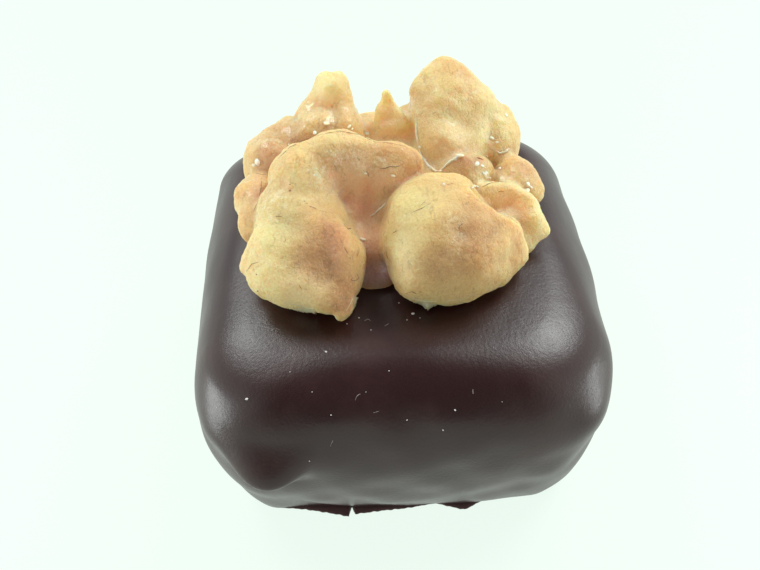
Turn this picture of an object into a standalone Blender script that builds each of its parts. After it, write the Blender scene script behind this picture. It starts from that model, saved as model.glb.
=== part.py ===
"""Filled chocolate with half a walnut on top, modelled in metres with +Z up.

Two pieces: the chocolate-coated square block, with the drip and the thin foot that the
coating left when it set, and the walnut half. The origin is under the middle of the block,
on the table, and the front of the block faces -Y.
"""
import math

import bmesh
import bpy
from mathutils import Matrix, Vector

MM = 0.001

# Block, in millimetres
HALF_WIDTH = 14.83        # half the side of the square at its widest level
BLOCK_HEIGHT = 16.4       # table to the flat top
WIDEST_LEVEL = 9.6        # height of the widest level
SHOULDER_REACH = 4.85     # how far the rounded shoulder comes in before the top is flat
UNDERCUT = 2.36           # how far the sides draw in between the widest level and the table
CORNER_LEAST = 1.2        # smallest radius of a corner in plan
# Right, back, left and front side, each with the corner that follows it anticlockwise: how far
# the middle of the side stands out, the corner's radius at the widest level, and what that
# radius loses for each mm that a ring comes in, below and above the widest level
SIDES = (
    dict(pillow=0.17, corner=5.9, below=0.8, above=0.7),
    dict(pillow=0.06, corner=3.8, below=0.5, above=0.4),
    dict(pillow=0.15, corner=6.7, below=1.65, above=0.7),
    dict(pillow=0.23, corner=7.1, below=1.65, above=0.7),
)

# Slow unevenness of the coating: depth, radians for each mm, and phases
WAVE_DEPTH = 0.07
WAVE_ACROSS = 0.41
WAVE_BACK = 0.33
WAVE_UP = 0.5
WAVE_PHASES = (0.9, -0.4)
WAVE_UP_SHARE = 0.6

# Swellings and hollows of the coating: centre x, y, z, spread and amount outwards
SWELLINGS = {
    "cornerRight": (12.4, -12.6, 11.4, 2.0, 0.50),
    "underCornerRight": (12.2, -12.2, 6.8, 1.9, -0.22),
    "cornerLeft": (-12.6, -12.4, 11.9, 1.6, 0.24),
    "underDrip": (-8.4, -13.2, 1.0, 4.0, -0.42),
}

# The top's two front corners slope down a little, each as a low dome: middle x and y, slope,
# azimuth of the slope in degrees from the front, curvature and rounding towards the flat top
FRONT_SLOPES = (
    (9.3, -9.4, 0.27, 48, 0.060, 0.6),
    (-10.2, -8.2, 0.25, -60, 0.055, 0.6),
)
SLOPE_DROP = 0.45         # how far a dome's middle lies under the flat top
SLOPE_SIZE = 5.0          # distance from its middle at which its bend levels out

# Drip at the left end of the front: it swells downwards and ends in a short round lip
DRIP_CENTRE_X = -9.2
DRIP_HALF_WIDTH = 3.6
DRIP_TOP = 12.8
DRIP_LIP = 9.7            # height of the lip at the middle of the drip
DRIP_LIP_RISE = 2.0       # how much higher it is at the ends
DRIP_REACH = 1.15
DRIP_EDGE = 1.1           # height over which the lip turns under at its middle
DRIP_EDGE_SPREAD = 1.8    # how much more height it takes at the drip's ends
DRIP_TAPER = 2.0          # how fast it thins towards its ends

# Thin foot of set chocolate along the bottom of the front: x from, x to, reach, place of the
# furthest point between the two
FOOT_TONGUES = ((-9.8, -4.45, 0.85, 0.97), (-4.4, 2.0, 0.62, 0.03), (2.0, 5.4, 0.55, 0.62))
FOOT_THICKNESS = 0.35
FOOT_FADE = 0.45          # height over which the foot runs back into the side

# Mesh steps of the block
SIDE_STEPS = 14
CORNER_STEPS = 9
SHOULDER_STEPS = 11
SIDE_LEVELS = 11
TOP_RINGS = 4

# Walnut half, in millimetres, with heights counted from the block's top. Each mass is a
# group of ellipsoid lobes: centre x, y, z and radii x, y, z. "blend" rounds the creases
# inside the mass, and "join" those between it and the masses before it.
NUT_GAP = 0.3             # clearance between the walnut and the block
NUT_FLOOR_ROUND = 0.5
NUT_SWELL = 0.05          # makes up for what the facets cut off the bulges
NUT_STEP = 0.64           # facet size
NUT_LOW = (-13.2, -10.4, -0.8)
NUT_HIGH = (12.4, 13.6, 9.8)
NUT_WARPS = ((4.5, 0.9, 3.0), (1.8, 0.28, 8.0))     # size, amount and seed of the unevenness

MASSES = {
    "core": dict(blend=1.0, join=0.0, lobes={
        "middle": (-0.3, 3.4, 1.5, 8.6, 7.2, 2.2),
        "web": (-1.5, -2.0, 0.1, 2.4, 3.2, 1.7),
    }),
    "arch": dict(blend=1.3, join=0.6, lobes={
        "rimLeft": (-7.7, -4.0, 2.6, 2.2, 2.5, 2.2),
        "front": (-5.8, -5.2, 2.4, 3.2, 2.3, 2.2),
        "tip": (-4.9, -6.2, 1.9, 1.9, 1.9, 1.6),
        "spur": (-3.8, -7.35, 0.9, 0.45, 0.95, 0.6),
        "spurLeft": (-9.65, -3.65, 1.6, 0.7, 0.8, 0.6),
        "inner": (-3.6, -4.2, 2.6, 1.5, 2.6, 2.4),
        "top": (-6.2, -1.4, 3.4, 2.8, 2.6, 2.3),
        "saddle": (-5.3, -3.0, 3.2, 2.0, 2.0, 1.6),
        "armLeft": (-5.9, 1.0, 5.0, 2.2, 2.2, 2.3),
        "bridge": (-2.8, 2.0, 5.3, 3.4, 1.6, 2.4),
        "wall": (-1.6, 1.7, 3.0, 3.4, 2.0, 2.9),
        "ramp": (-1.8, -0.2, 1.6, 2.4, 2.0, 2.0),
        "armRight": (0.4, 1.6, 4.9, 1.9, 1.5, 2.0),
    }),
    "frontRight": dict(blend=1.5, join=0.6, lobes={
        "main": (3.4, -3.8, 2.8, 4.2, 3.8, 3.2),
        "outer": (5.6, -3.2, 2.6, 2.4, 3.0, 2.6),
        "side": (6.8, -3.8, 1.4, 2.0, 2.3, 1.7),
        "inner": (0.7, -2.6, 3.0, 1.8, 2.6, 2.4),
        "front": (2.7, -5.2, 1.9, 3.3, 2.05, 1.9),
        "plateau": (3.0, -1.2, 3.7, 2.8, 2.0, 1.9),
    }),
    "leaf": dict(blend=0.7, join=0.3, lobes={
        "top": (6.6, 0.5, 2.6, 1.3, 0.9, 1.3),
        "shoulder": (8.0, 0.4, 2.6, 1.2, 0.9, 1.2),
        "bend": (9.1, -0.3, 2.2, 0.9, 1.0, 1.2),
        "side": (9.4, -1.3, 1.7, 0.85, 1.3, 1.2),
        "spur": (9.75, -2.1, 1.3, 0.75, 0.45, 0.5),
        "end": (8.6, -2.4, 0.9, 0.9, 0.9, 0.9),
        "floor": (7.9, -0.9, 0.8, 2.1, 2.4, 1.5),
    }),
    "right": dict(blend=0.6, join=0.4, lobes={
        "side": (9.0, 2.4, 2.0, 2.0, 2.1, 1.9),
        "middle": (5.2, 2.6, 2.6, 2.3, 2.0, 2.3),
    }),
    "left": dict(blend=1.3, join=0.6, lobes={
        "upper": (-9.4, 2.4, 2.2, 1.8, 1.8, 1.8),
        "middle": (-9.2, 1.2, 2.1, 1.5, 1.6, 1.8),
        "lower": (-8.9, -0.1, 1.9, 1.4, 1.5, 1.7),
        "spur": (-9.7, -0.5, 1.6, 0.5, 0.5, 0.6),
    }),
    "backLeft": dict(blend=0.5, join=0.4, lobes={
        "outer": (-8.1, 5.75, 2.75, 2.6, 2.95, 2.35),
        "rear": (-6.9, 7.2, 3.2, 1.8, 2.0, 1.85),
    }),
    "backLeftInner": dict(blend=1.0, join=0.5, lobes={
        "left": (-5.0, 7.2, 3.6, 2.0, 2.4, 2.7),
        "right": (-3.2, 7.4, 3.8, 1.6, 2.2, 2.5),
        "fingerLeft": (-4.5, 9.0, 6.1, 0.9, 0.95, 1.75),
        "fingerRight": (-3.5, 9.0, 5.8, 0.85, 0.95, 2.0),
        "fingerFront": (-4.0, 8.2, 5.9, 1.35, 1.1, 1.8),
        "fingerFoot": (-4.2, 8.4, 4.5, 2.0, 1.5, 2.0),
    }),
    "valley": dict(blend=0.4, join=0.6, lobes={
        "saddle": (-0.2, 8.2, 2.4, 4.2, 2.4, 2.1),
        "saddleRight": (1.7, 8.6, 3.0, 1.6, 1.6, 2.0),
        "thornFoot": (0.2, 7.4, 3.8, 1.2, 1.0, 1.9),
        "thorn": (0.0, 7.6, 4.9, 1.05, 0.65, 1.75),
        "thornTip": (0.05, 7.75, 6.2, 0.5, 0.42, 1.3),
    }),
    "backRight": dict(blend=2.0, join=0.6, lobes={
        "main": (4.6, 8.7, 4.7, 2.6, 2.6, 3.45),
        "crown": (3.9, 9.1, 5.5, 2.0, 1.9, 2.1),
        "shoulder": (6.5, 7.9, 3.7, 2.0, 2.6, 2.7),
        "foot": (4.4, 5.6, 3.2, 2.4, 2.8, 2.8),
        "front": (4.6, 7.2, 4.2, 2.3, 2.2, 2.9),
    }),
    "backRightOuter": dict(blend=0.8, join=1.2, lobes={
        "outer": (8.2, 6.6, 2.8, 1.7, 2.3, 2.3),
    }),
}
# Hollows scooped out of the whole nut: centre, radii and the rounding of their lips
SCOOPS = {
    "underBridge": (-1.4, -1.2, 8.6, 3.2, 2.5, 2.9, 0.9),
    "groove": (-1.9, -2.2, 4.9, 1.5, 2.4, 2.2, 0.9),
    "leaf": (7.4, -1.5, 5.2, 2.3, 2.1, 2.5, 0.5),
}
# Soft dimples pushed into the skin: centre, spread and depth
DIMPLES = {
    "frontLeft": (-4.9, -6.4, 3.4, 2.1, 1.5, 1.8, 0.85),
    "frontRight": (4.2, -5.6, 5.2, 0.8, 2.2, 1.6, 0.22),
    "frontRightLow": (2.2, -6.6, 4.2, 1.2, 1.4, 1.4, 0.25),
}

COLOURS = {      # base colour, roughness
    "chocolate": ((0.030, 0.013, 0.010, 1.0), 0.34),
    "walnut": ((0.66, 0.45, 0.20, 1.0), 0.45),
}


def clear_scene():
    for old in list(bpy.data.objects):
        bpy.data.objects.remove(old)


def material(name):
    colour, roughness = COLOURS[name]
    made = bpy.data.materials.new(name)
    made.use_nodes = True
    shader = made.node_tree.nodes["Principled BSDF"]
    shader.inputs["Base Color"].default_value = colour
    shader.inputs["Roughness"].default_value = roughness
    shader.inputs["Metallic"].default_value = 0.0
    return made


def add_object(name, mesh):
    placed = bpy.data.objects.new(name, mesh)
    bpy.context.scene.collection.objects.link(placed)
    mesh.materials.clear()
    mesh.materials.append(material(name))
    mesh.shade_smooth()
    return placed


# ---------------------------------------------------------------- block

def block_levels():
    """Rings of the block from the table to the flat top, as (inset, height)."""
    levels = [(UNDERCUT, 0.0), (UNDERCUT, FOOT_THICKNESS)]
    start = FOOT_THICKNESS + FOOT_FADE
    for step in range(SIDE_LEVELS):
        height = start + (WIDEST_LEVEL - start) * step / SIDE_LEVELS
        levels.append((UNDERCUT * (1 - height / WIDEST_LEVEL) ** 2, height))
    rise = BLOCK_HEIGHT - WIDEST_LEVEL
    for step in range(SHOULDER_STEPS + 1):
        turn = math.pi / 2 * step / SHOULDER_STEPS
        levels.append((SHOULDER_REACH * (1 - math.cos(turn)), WIDEST_LEVEL + rise * math.sin(turn)))
    return levels


def square_ring(inset, height):
    """Points of one rounded square ring, each with its outward direction."""
    part = "below" if height < WIDEST_LEVEL else "above"
    corners = [max(side["corner"] - side[part] * inset, CORNER_LEAST) for side in SIDES]
    halves = [HALF_WIDTH - inset - side["pillow"] for side in SIDES]
    points = []
    for quarter, side in enumerate(SIDES):
        turned = Matrix.Rotation(quarter * math.pi / 2, 2)
        pillow = side["pillow"]
        corner = corners[quarter]
        half = halves[quarter]
        next_half = halves[(quarter + 1) % 4]
        low = corners[quarter - 1] - halves[quarter - 1]
        high = next_half - corner
        for step in range(SIDE_STEPS + 1):
            part_way = step / SIDE_STEPS
            out = half + 4 * pillow * part_way * (1 - part_way)
            spot = Vector((out, low + (high - low) * part_way))
            points.append((turned @ spot, turned @ Vector((1, 0))))
        for step in range(1, CORNER_STEPS):
            turn = math.pi / 2 * step / CORNER_STEPS
            away = Vector((math.cos(turn), math.sin(turn)))
            centre = Vector((half - corner, next_half - corner))
            points.append((turned @ (centre + away * corner), turned @ away))
    return points


def smooth_step(low, high, value):
    t = min(max((value - low) / (high - low), 0.0), 1.0)
    return t * t * (3 - 2 * t)


def drip(x, y, height):
    """How far the drip stands out at a point of the front."""
    across = (x - DRIP_CENTRE_X) / DRIP_HALF_WIDTH
    if y > 0 or abs(across) >= 1:
        return 0.0
    sideways = (1 - across * across) ** DRIP_TAPER
    lip = DRIP_LIP + DRIP_LIP_RISE * across * across
    grown = smooth_step(0.0, DRIP_TOP - lip, DRIP_TOP - height)
    edge = DRIP_EDGE + DRIP_EDGE_SPREAD * across * across
    return DRIP_REACH * sideways * grown * smooth_step(lip - edge, lip, height)


def foot(x, y, height):
    """How far the thin foot reaches out at the bottom of the front."""
    if y > 0 or height > FOOT_THICKNESS:
        return 0.0
    for start, end, reach, furthest in FOOT_TONGUES:
        if start < x < end:
            along = (x - start) / (end - start)
            near = along / furthest if along < furthest else (1 - along) / (1 - furthest)
            return reach * near
    return 0.0


def swelling(x, y, height):
    """Sum of the coating's swellings and hollows at a point."""
    total = 0.0
    for centre_x, centre_y, centre_z, spread, amount in SWELLINGS.values():
        away = Vector((x - centre_x, y - centre_y, height - centre_z)) / spread
        total += amount * math.exp(-away.length_squared)
    return total


def coating_wave(x, y, height):
    level = math.sin(WAVE_ACROSS * x + WAVE_PHASES[0]) * math.cos(WAVE_BACK * y + WAVE_PHASES[1])
    upright = math.sin(WAVE_UP * height + WAVE_ACROSS * x)
    return WAVE_DEPTH * (level + WAVE_UP_SHARE * upright)


def sloped(place, height):
    """Height of a point of the block once the top's front corners slope down."""
    for middle_x, middle_y, slope, azimuth, curvature, rounding in FRONT_SLOPES:
        away = place - Vector((middle_x, middle_y))
        downhill = Vector((math.sin(math.radians(azimuth)), -math.cos(math.radians(azimuth))))
        bend = curvature / 2 * away.length_squared / (1 + away.length_squared / SLOPE_SIZE ** 2)
        dome = BLOCK_HEIGHT - SLOPE_DROP - slope * away.dot(downhill) - bend
        share = min(max(0.5 + 0.5 * (dome - height) / rounding, 0.0), 1.0)
        height = dome + (height - dome) * share - rounding * share * (1 - share)
    return height


def block():
    mesh = bmesh.new()
    rings = []
    for inset, height in block_levels():
        fade = 1 - smooth_step((BLOCK_HEIGHT + WIDEST_LEVEL) / 2, BLOCK_HEIGHT, height)
        ring = []
        for place, away in square_ring(inset, height):
            out = drip(place.x, place.y, height) + foot(place.x, place.y, height)
            out += fade * (swelling(place.x, place.y, height) + coating_wave(place.x, place.y, height))
            ring.append((place + away * out, height))
        rings.append(ring)
    top = rings[-1]
    for step in range(1, TOP_RINGS):
        scale = 1 - step / TOP_RINGS
        rings.append([(spot * scale, height) for spot, height in top])
    for ring in rings:
        for i, (spot, height) in enumerate(ring):
            ring[i] = mesh.verts.new((spot.x * MM, spot.y * MM, sloped(spot, height) * MM))
    count = len(rings[0])
    for lower, upper in zip(rings, rings[1:]):
        for i in range(count):
            j = (i + 1) % count
            mesh.faces.new((lower[i], lower[j], upper[j], upper[i]))
    centre = mesh.verts.new((0, 0, BLOCK_HEIGHT * MM))
    for i in range(count):
        mesh.faces.new((rings[-1][i], rings[-1][(i + 1) % count], centre))
    mesh.faces.new(list(reversed(rings[0])))
    bmesh.ops.triangulate(mesh, faces=mesh.faces[:])
    made = bpy.data.meshes.new("chocolate")
    mesh.to_mesh(made)
    mesh.free()
    return add_object("chocolate", made)


# ---------------------------------------------------------------- walnut

class Field:
    """Adds nodes to a tree and returns their outputs, so that sums read as calls."""

    def __init__(self, tree):
        self.tree = tree

    def number(self, operation, *values):
        node = self.tree.nodes.new("ShaderNodeMath")
        node.operation = operation
        for slot, value in zip(node.inputs, values):
            self.feed(slot, value)
        return node.outputs[0]

    def vector(self, operation, *values, scale=None):
        node = self.tree.nodes.new("ShaderNodeVectorMath")
        node.operation = operation
        for slot, value in zip(node.inputs, values):
            self.feed(slot, value)
        if scale is not None:
            node.inputs["Scale"].default_value = scale
        return node.outputs["Value" if operation == "LENGTH" else "Vector"]

    def feed(self, slot, value):
        if isinstance(value, bpy.types.NodeSocket):
            self.tree.links.new(value, slot)
        else:
            slot.default_value = value


def new_tree(name, inputs, output):
    tree = bpy.data.node_groups.new(name, "GeometryNodeTree")
    for label, kind in inputs:
        tree.interface.new_socket(label, in_out="INPUT", socket_type=kind)
    tree.interface.new_socket(output[0], in_out="OUTPUT", socket_type=output[1])
    return tree, tree.nodes.new("NodeGroupInput").outputs, tree.nodes.new("NodeGroupOutput").inputs


def lobe_tree():
    """Distance from a point to an ellipsoid, negative inside it."""
    vector = "NodeSocketVector"
    inputs = [("Position", vector), ("Centre", vector), ("Radii", vector)]
    tree, given, result = new_tree("lobe", inputs, ("Distance", "NodeSocketFloat"))
    add = Field(tree)
    near = add.vector("DIVIDE", add.vector("SUBTRACT", given[0], given[1]), given[2])
    reach = add.vector("LENGTH", near)
    steepness = add.vector("LENGTH", add.vector("DIVIDE", near, given[2]))
    over = add.number("MULTIPLY", reach, add.number("SUBTRACT", reach, 1.0))
    distance = add.number("DIVIDE", over, add.number("MAXIMUM", steepness, 0.0001))
    tree.links.new(distance, result[0])
    return tree


def walnut_tree():
    """Tree that turns the masses into one closed skin."""
    tree, _, result = new_tree(
        "walnut", [("Geometry", "NodeSocketGeometry")], ("Geometry", "NodeSocketGeometry"))
    add = Field(tree)
    shape = lobe_tree()
    straight = tree.nodes.new("GeometryNodeInputPosition").outputs[0]
    place = straight
    for size, amount, seed in NUT_WARPS:
        noise = tree.nodes.new("ShaderNodeTexNoise")
        noise.noise_dimensions = "4D"
        noise.inputs["W"].default_value = seed
        noise.inputs["Scale"].default_value = 1 / size
        noise.inputs["Detail"].default_value = 1.0
        tree.links.new(straight, noise.inputs["Vector"])
        shift = add.vector("SUBTRACT", noise.outputs["Color"], (0.5, 0.5, 0.5))
        place = add.vector("ADD", place, add.vector("SCALE", shift, scale=2 * amount))

    def lobe(values):
        node = tree.nodes.new("GeometryNodeGroup")
        node.node_tree = shape
        tree.links.new(place, node.inputs["Position"])
        node.inputs["Centre"].default_value = values[0:3]
        node.inputs["Radii"].default_value = values[3:6]
        return node.outputs["Distance"]

    def blend(one, other, rounding):
        return add.number("SMOOTH_MIN", one, other, rounding)

    nut = None
    for mass in MASSES.values():
        skin = None
        for values in mass["lobes"].values():
            skin = lobe(values) if skin is None else blend(skin, lobe(values), mass["blend"])
        nut = skin if nut is None else blend(nut, skin, mass["join"])
    for values in SCOOPS.values():
        hollow = add.number("MULTIPLY", lobe(values), -1.0)
        nut = add.number("SMOOTH_MAX", nut, hollow, values[6])
    for values in DIMPLES.values():
        away = add.vector("SUBTRACT", place, values[0:3])
        near = add.vector("LENGTH", add.vector("DIVIDE", away, values[3:6]))
        fall = add.number("EXPONENT", add.number("MULTIPLY", add.number("MULTIPLY", near, near), -1.0))
        nut = add.number("MULTIPLY_ADD", fall, values[6], nut)
    nut = add.number("SUBTRACT", nut, NUT_SWELL)
    split = tree.nodes.new("ShaderNodeSeparateXYZ")
    tree.links.new(straight, split.inputs[0])
    under = add.number("SUBTRACT", NUT_GAP, split.outputs["Z"])
    nut = add.number("SMOOTH_MAX", nut, under, NUT_FLOOR_ROUND)

    cube = tree.nodes.new("GeometryNodeVolumeCube")
    cube.inputs["Min"].default_value = NUT_LOW
    cube.inputs["Max"].default_value = NUT_HIGH
    for axis, low, high in zip("XYZ", NUT_LOW, NUT_HIGH):
        cube.inputs["Resolution " + axis].default_value = round((high - low) / NUT_STEP)
    tree.links.new(add.number("SUBTRACT", 0.5, nut), cube.inputs["Density"])
    surface = tree.nodes.new("GeometryNodeVolumeToMesh")
    surface.inputs["Threshold"].default_value = 0.5
    tree.links.new(cube.outputs["Volume"], surface.inputs["Volume"])
    tree.links.new(surface.outputs["Mesh"], result[0])
    return tree


def walnut():
    blank = bpy.data.objects.new("walnutBlank", bpy.data.meshes.new("walnutBlank"))
    bpy.context.scene.collection.objects.link(blank)
    blank.modifiers.new("lobes", "NODES").node_group = walnut_tree()
    bpy.context.view_layer.update()
    evaluated = blank.evaluated_get(bpy.context.evaluated_depsgraph_get())
    made = bpy.data.meshes.new_from_object(evaluated)
    bpy.data.objects.remove(blank)
    made.name = "walnut"
    made.transform(Matrix.Scale(MM, 4) @ Matrix.Translation((0, 0, BLOCK_HEIGHT)))
    return add_object("walnut", made)


clear_scene()
block()
walnut()
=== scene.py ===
import math

import bpy
import numpy as np
from mathutils import Matrix, Vector
from mathutils.bvhtree import BVHTree


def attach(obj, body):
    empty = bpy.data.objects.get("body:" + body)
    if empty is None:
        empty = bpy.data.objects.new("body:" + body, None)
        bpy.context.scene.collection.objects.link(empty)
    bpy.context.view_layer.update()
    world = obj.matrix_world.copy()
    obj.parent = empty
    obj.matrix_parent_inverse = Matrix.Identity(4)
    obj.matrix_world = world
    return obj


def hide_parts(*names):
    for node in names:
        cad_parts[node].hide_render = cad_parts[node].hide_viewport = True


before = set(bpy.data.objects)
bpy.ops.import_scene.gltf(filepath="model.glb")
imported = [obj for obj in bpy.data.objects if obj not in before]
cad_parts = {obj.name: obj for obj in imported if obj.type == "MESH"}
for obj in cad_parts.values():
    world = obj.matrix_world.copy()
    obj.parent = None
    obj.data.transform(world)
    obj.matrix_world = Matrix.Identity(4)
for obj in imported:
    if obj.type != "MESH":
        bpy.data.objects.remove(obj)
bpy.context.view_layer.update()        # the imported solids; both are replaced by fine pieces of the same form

scene = bpy.context.scene
mm = 0.001               # shapes are worked out in millimetres and scaled at the end


# Node trees: sums on wires add Math nodes, everything else goes through Sheet.add

class Wire:
    def __init__(self, sheet, socket):
        self.sheet = sheet
        self.socket = socket

    def __add__(self, other):
        return self.sheet.number("ADD", self, other)

    def __radd__(self, other):
        return self.sheet.number("ADD", other, self)

    def __sub__(self, other):
        return self.sheet.number("SUBTRACT", self, other)

    def __rsub__(self, other):
        return self.sheet.number("SUBTRACT", other, self)

    def __mul__(self, other):
        return self.sheet.number("MULTIPLY", self, other)

    def __rmul__(self, other):
        return self.sheet.number("MULTIPLY", other, self)

    def __truediv__(self, other):
        return self.sheet.number("DIVIDE", self, other)

    def __rtruediv__(self, other):
        return self.sheet.number("DIVIDE", other, self)

    def __pow__(self, other):
        return self.sheet.number("POWER", self, other)

    def __neg__(self):
        return self.sheet.number("MULTIPLY", self, -1.0)


class Sheet:
    def __init__(self, tree, perMm):
        self.tree = tree
        self.perMm = perMm       # the tree's own length units in one millimetre

    def add(self, kind, settings=None, sockets=None, out=0):
        node = self.tree.nodes.new(kind)
        for name, value in (settings or {}).items():
            setattr(node, name, value)
        for key, value in (sockets or {}).items():
            self.feed(node.inputs[key], value)
        return Wire(self, node.outputs[out])

    def feed(self, socket, value):
        if isinstance(value, Wire):
            self.tree.links.new(value.socket, socket)
        else:
            socket.default_value = value

    def number(self, operation, *values):
        return self.add("ShaderNodeMath", {"operation": operation}, dict(enumerate(values)))

    def vector(self, operation, *values):
        return self.add("ShaderNodeVectorMath", {"operation": operation}, dict(enumerate(values)))

    def length(self, value):
        return self.add("ShaderNodeVectorMath", {"operation": "LENGTH"}, {0: value}, out=1)

    def times(self, value, factor):
        return self.add("ShaderNodeVectorMath", {"operation": "SCALE"}, {0: value, "Scale": factor})

    def span(self, value, low, high, toLow=0.0, toHigh=1.0):
        settings = {"interpolation_type": "SMOOTHSTEP"}
        return self.add("ShaderNodeMapRange", settings, {0: value, 1: low, 2: high, 3: toLow, 4: toHigh})

    def mix(self, factor, one, other, blend="MIX"):
        settings = {"data_type": "RGBA", "blend_type": blend}
        colours = {0: factor, 6: self.paint(one), 7: self.paint(other)}
        return self.add("ShaderNodeMix", settings, colours, out=2)

    def paint(self, value):
        return value if isinstance(value, Wire) else (*value[:3], 1.0)

    def noise(self, place, size, seed=0.0, detail=2.0, rough=0.5, colour=False):    # size in mm
        scale = 1 / (size * self.perMm)
        sockets = {"Vector": place, "W": seed, "Scale": scale, "Detail": detail, "Roughness": rough}
        return self.add("ShaderNodeTexNoise", {"noise_dimensions": "4D"}, sockets, out=1 if colour else 0)


# A geometry tree with named inputs: gives its sheet, its inputs as wires and its output socket
def newTree(name, inputs, output):
    tree = bpy.data.node_groups.new(name, "GeometryNodeTree")
    kinds = {float: "NodeSocketFloat", int: "NodeSocketInt", tuple: "NodeSocketVector"}
    for label, value in inputs.items():
        kind = kinds.get(type(value), "NodeSocketMaterial" if value else "NodeSocketGeometry")
        socket = tree.interface.new_socket(label, in_out="INPUT", socket_type=kind)
        if type(value) in kinds:
            socket.default_value = value
    tree.interface.new_socket(output[0], in_out="OUTPUT", socket_type=output[1])
    sheet = Sheet(tree, 1.0)
    given = tree.nodes.new("NodeGroupInput")
    wires = {label: Wire(sheet, given.outputs[label]) for label in inputs}
    return sheet, wires, tree.nodes.new("NodeGroupOutput").inputs[0]


# Ends a geometry tree: from millimetres to a smooth mesh in metres, with its material
def endTree(sheet, mesh, material, result, raised=0.0):
    placed = {"Geometry": mesh, "Translation": (0, 0, raised * mm), "Scale": (mm, mm, mm)}
    mesh = sheet.add("GeometryNodeTransform", None, placed)
    mesh = sheet.add("GeometryNodeSetShadeSmooth", None, {"Geometry": mesh})
    mesh = sheet.add("GeometryNodeRealizeInstances", None, {"Geometry": mesh})
    mesh = sheet.add("GeometryNodeSetMaterial", None, {"Geometry": mesh, "Material": material})
    sheet.tree.links.new(mesh.socket, result)
    return sheet.tree


# Runs a geometry tree with those input values and keeps the result as a plain mesh
def grow(name, tree, values, start=None):
    blank = bpy.data.objects.new(name, start or bpy.data.meshes.new(name))
    scene.collection.objects.link(blank)
    modifier = blank.modifiers.new("grow", "NODES")
    modifier.node_group = tree
    for socket in tree.interface.items_tree:
        if socket.in_out == "INPUT" and socket.name in values:
            modifier[socket.identifier] = values[socket.name]
    bpy.context.view_layer.update()
    mesh = bpy.data.meshes.new_from_object(blank.evaluated_get(bpy.context.evaluated_depsgraph_get()))
    bpy.data.objects.remove(blank)
    mesh.name = name
    if mesh.materials[0] is None:        # an empty slot before the material
        mesh.materials.pop(index=0)
    piece = bpy.data.objects.new(name, mesh)
    scene.collection.objects.link(piece)
    return piece


def meshFrom(name, points, faces, material):
    mesh = bpy.data.meshes.new(name)
    mesh.from_pydata(points, [], faces)
    mesh.materials.append(material)
    mesh.shade_smooth()
    made = bpy.data.objects.new(name, mesh)
    scene.collection.objects.link(made)
    return made


def newMaterial(name, uniform):       # uniform: what is the same all over the surface
    made = bpy.data.materials.new(name)
    made.use_nodes = True
    shader = made.node_tree.nodes["Principled BSDF"]
    for label, value in uniform.items():
        shader.inputs[label].default_value = value
    return made, Sheet(made.node_tree, mm), shader


def objectPlace(sheet):
    return sheet.add("ShaderNodeTexCoord", out=3)


def attribute(sheet, name):
    return sheet.add("ShaderNodeAttribute", {"attribute_name": name}, out=2)


# Camera, fitted to the outline of the block in the photograph

camera = {
    "frame": (760, 570),         # the photograph's pixels
    "focal": 770.0,              # in the same pixels
    "distance": 60.3, "elevation": 47.5, "azimuth": -0.3, "roll": -3.4,
    "right": -1.2, "up": 1.6, "aimHeight": 9.0,      # mm
    "sensor": 36.0, "nearest": 1.0, "furthest": 3000.0,
}


def directionTo(azimuth, elevation):         # in degrees, the azimuth from the front
    azimuth, elevation = math.radians(azimuth), math.radians(elevation)
    level = math.cos(elevation)
    return Vector((math.sin(azimuth) * level, -math.cos(azimuth) * level, math.sin(elevation)))


def cameraMatrix():
    azimuth, roll = math.radians(camera["azimuth"]), math.radians(camera["roll"])
    back = directionTo(camera["azimuth"], camera["elevation"])
    level = Vector((math.cos(azimuth), math.sin(azimuth), 0))
    upright = back.cross(level)
    right = level * math.cos(roll) + upright * math.sin(roll)
    up = upright * math.cos(roll) - level * math.sin(roll)
    place = Vector((0, 0, camera["aimHeight"])) + level * camera["right"] + upright * camera["up"]
    place += back * camera["distance"]
    turned = Matrix((right, up, back)).transposed().to_4x4()
    return Matrix.Translation(place * mm) @ turned


def makeCamera():
    data = bpy.data.cameras.new("camera")
    data.sensor_width = camera["sensor"]
    data.lens = camera["sensor"] * camera["focal"] / camera["frame"][0]
    data.clip_start = camera["nearest"] * mm
    data.clip_end = camera["furthest"] * mm
    made = bpy.data.objects.new("camera", data)
    made.matrix_world = cameraMatrix()
    scene.collection.objects.link(made)
    scene.camera = made


# Point and normal of a piece under a pixel of the frame, in metres
def seenAt(target, pixel):
    wide, high = camera["frame"]
    matrix = cameraMatrix()
    sight = Vector(((pixel[0] - wide / 2) / camera["focal"], (high / 2 - pixel[1]) / camera["focal"], -1))
    place, normal, _, _ = target.ray_cast(matrix.translation, (matrix.to_3x3() @ sight).normalized())
    return (place, normal) if place else None


makeCamera()
print("camera set")


# Coated block: rounded square rings from the table to the flat top, pushed out by the coating's
# waves, swellings, drip and foot

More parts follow.
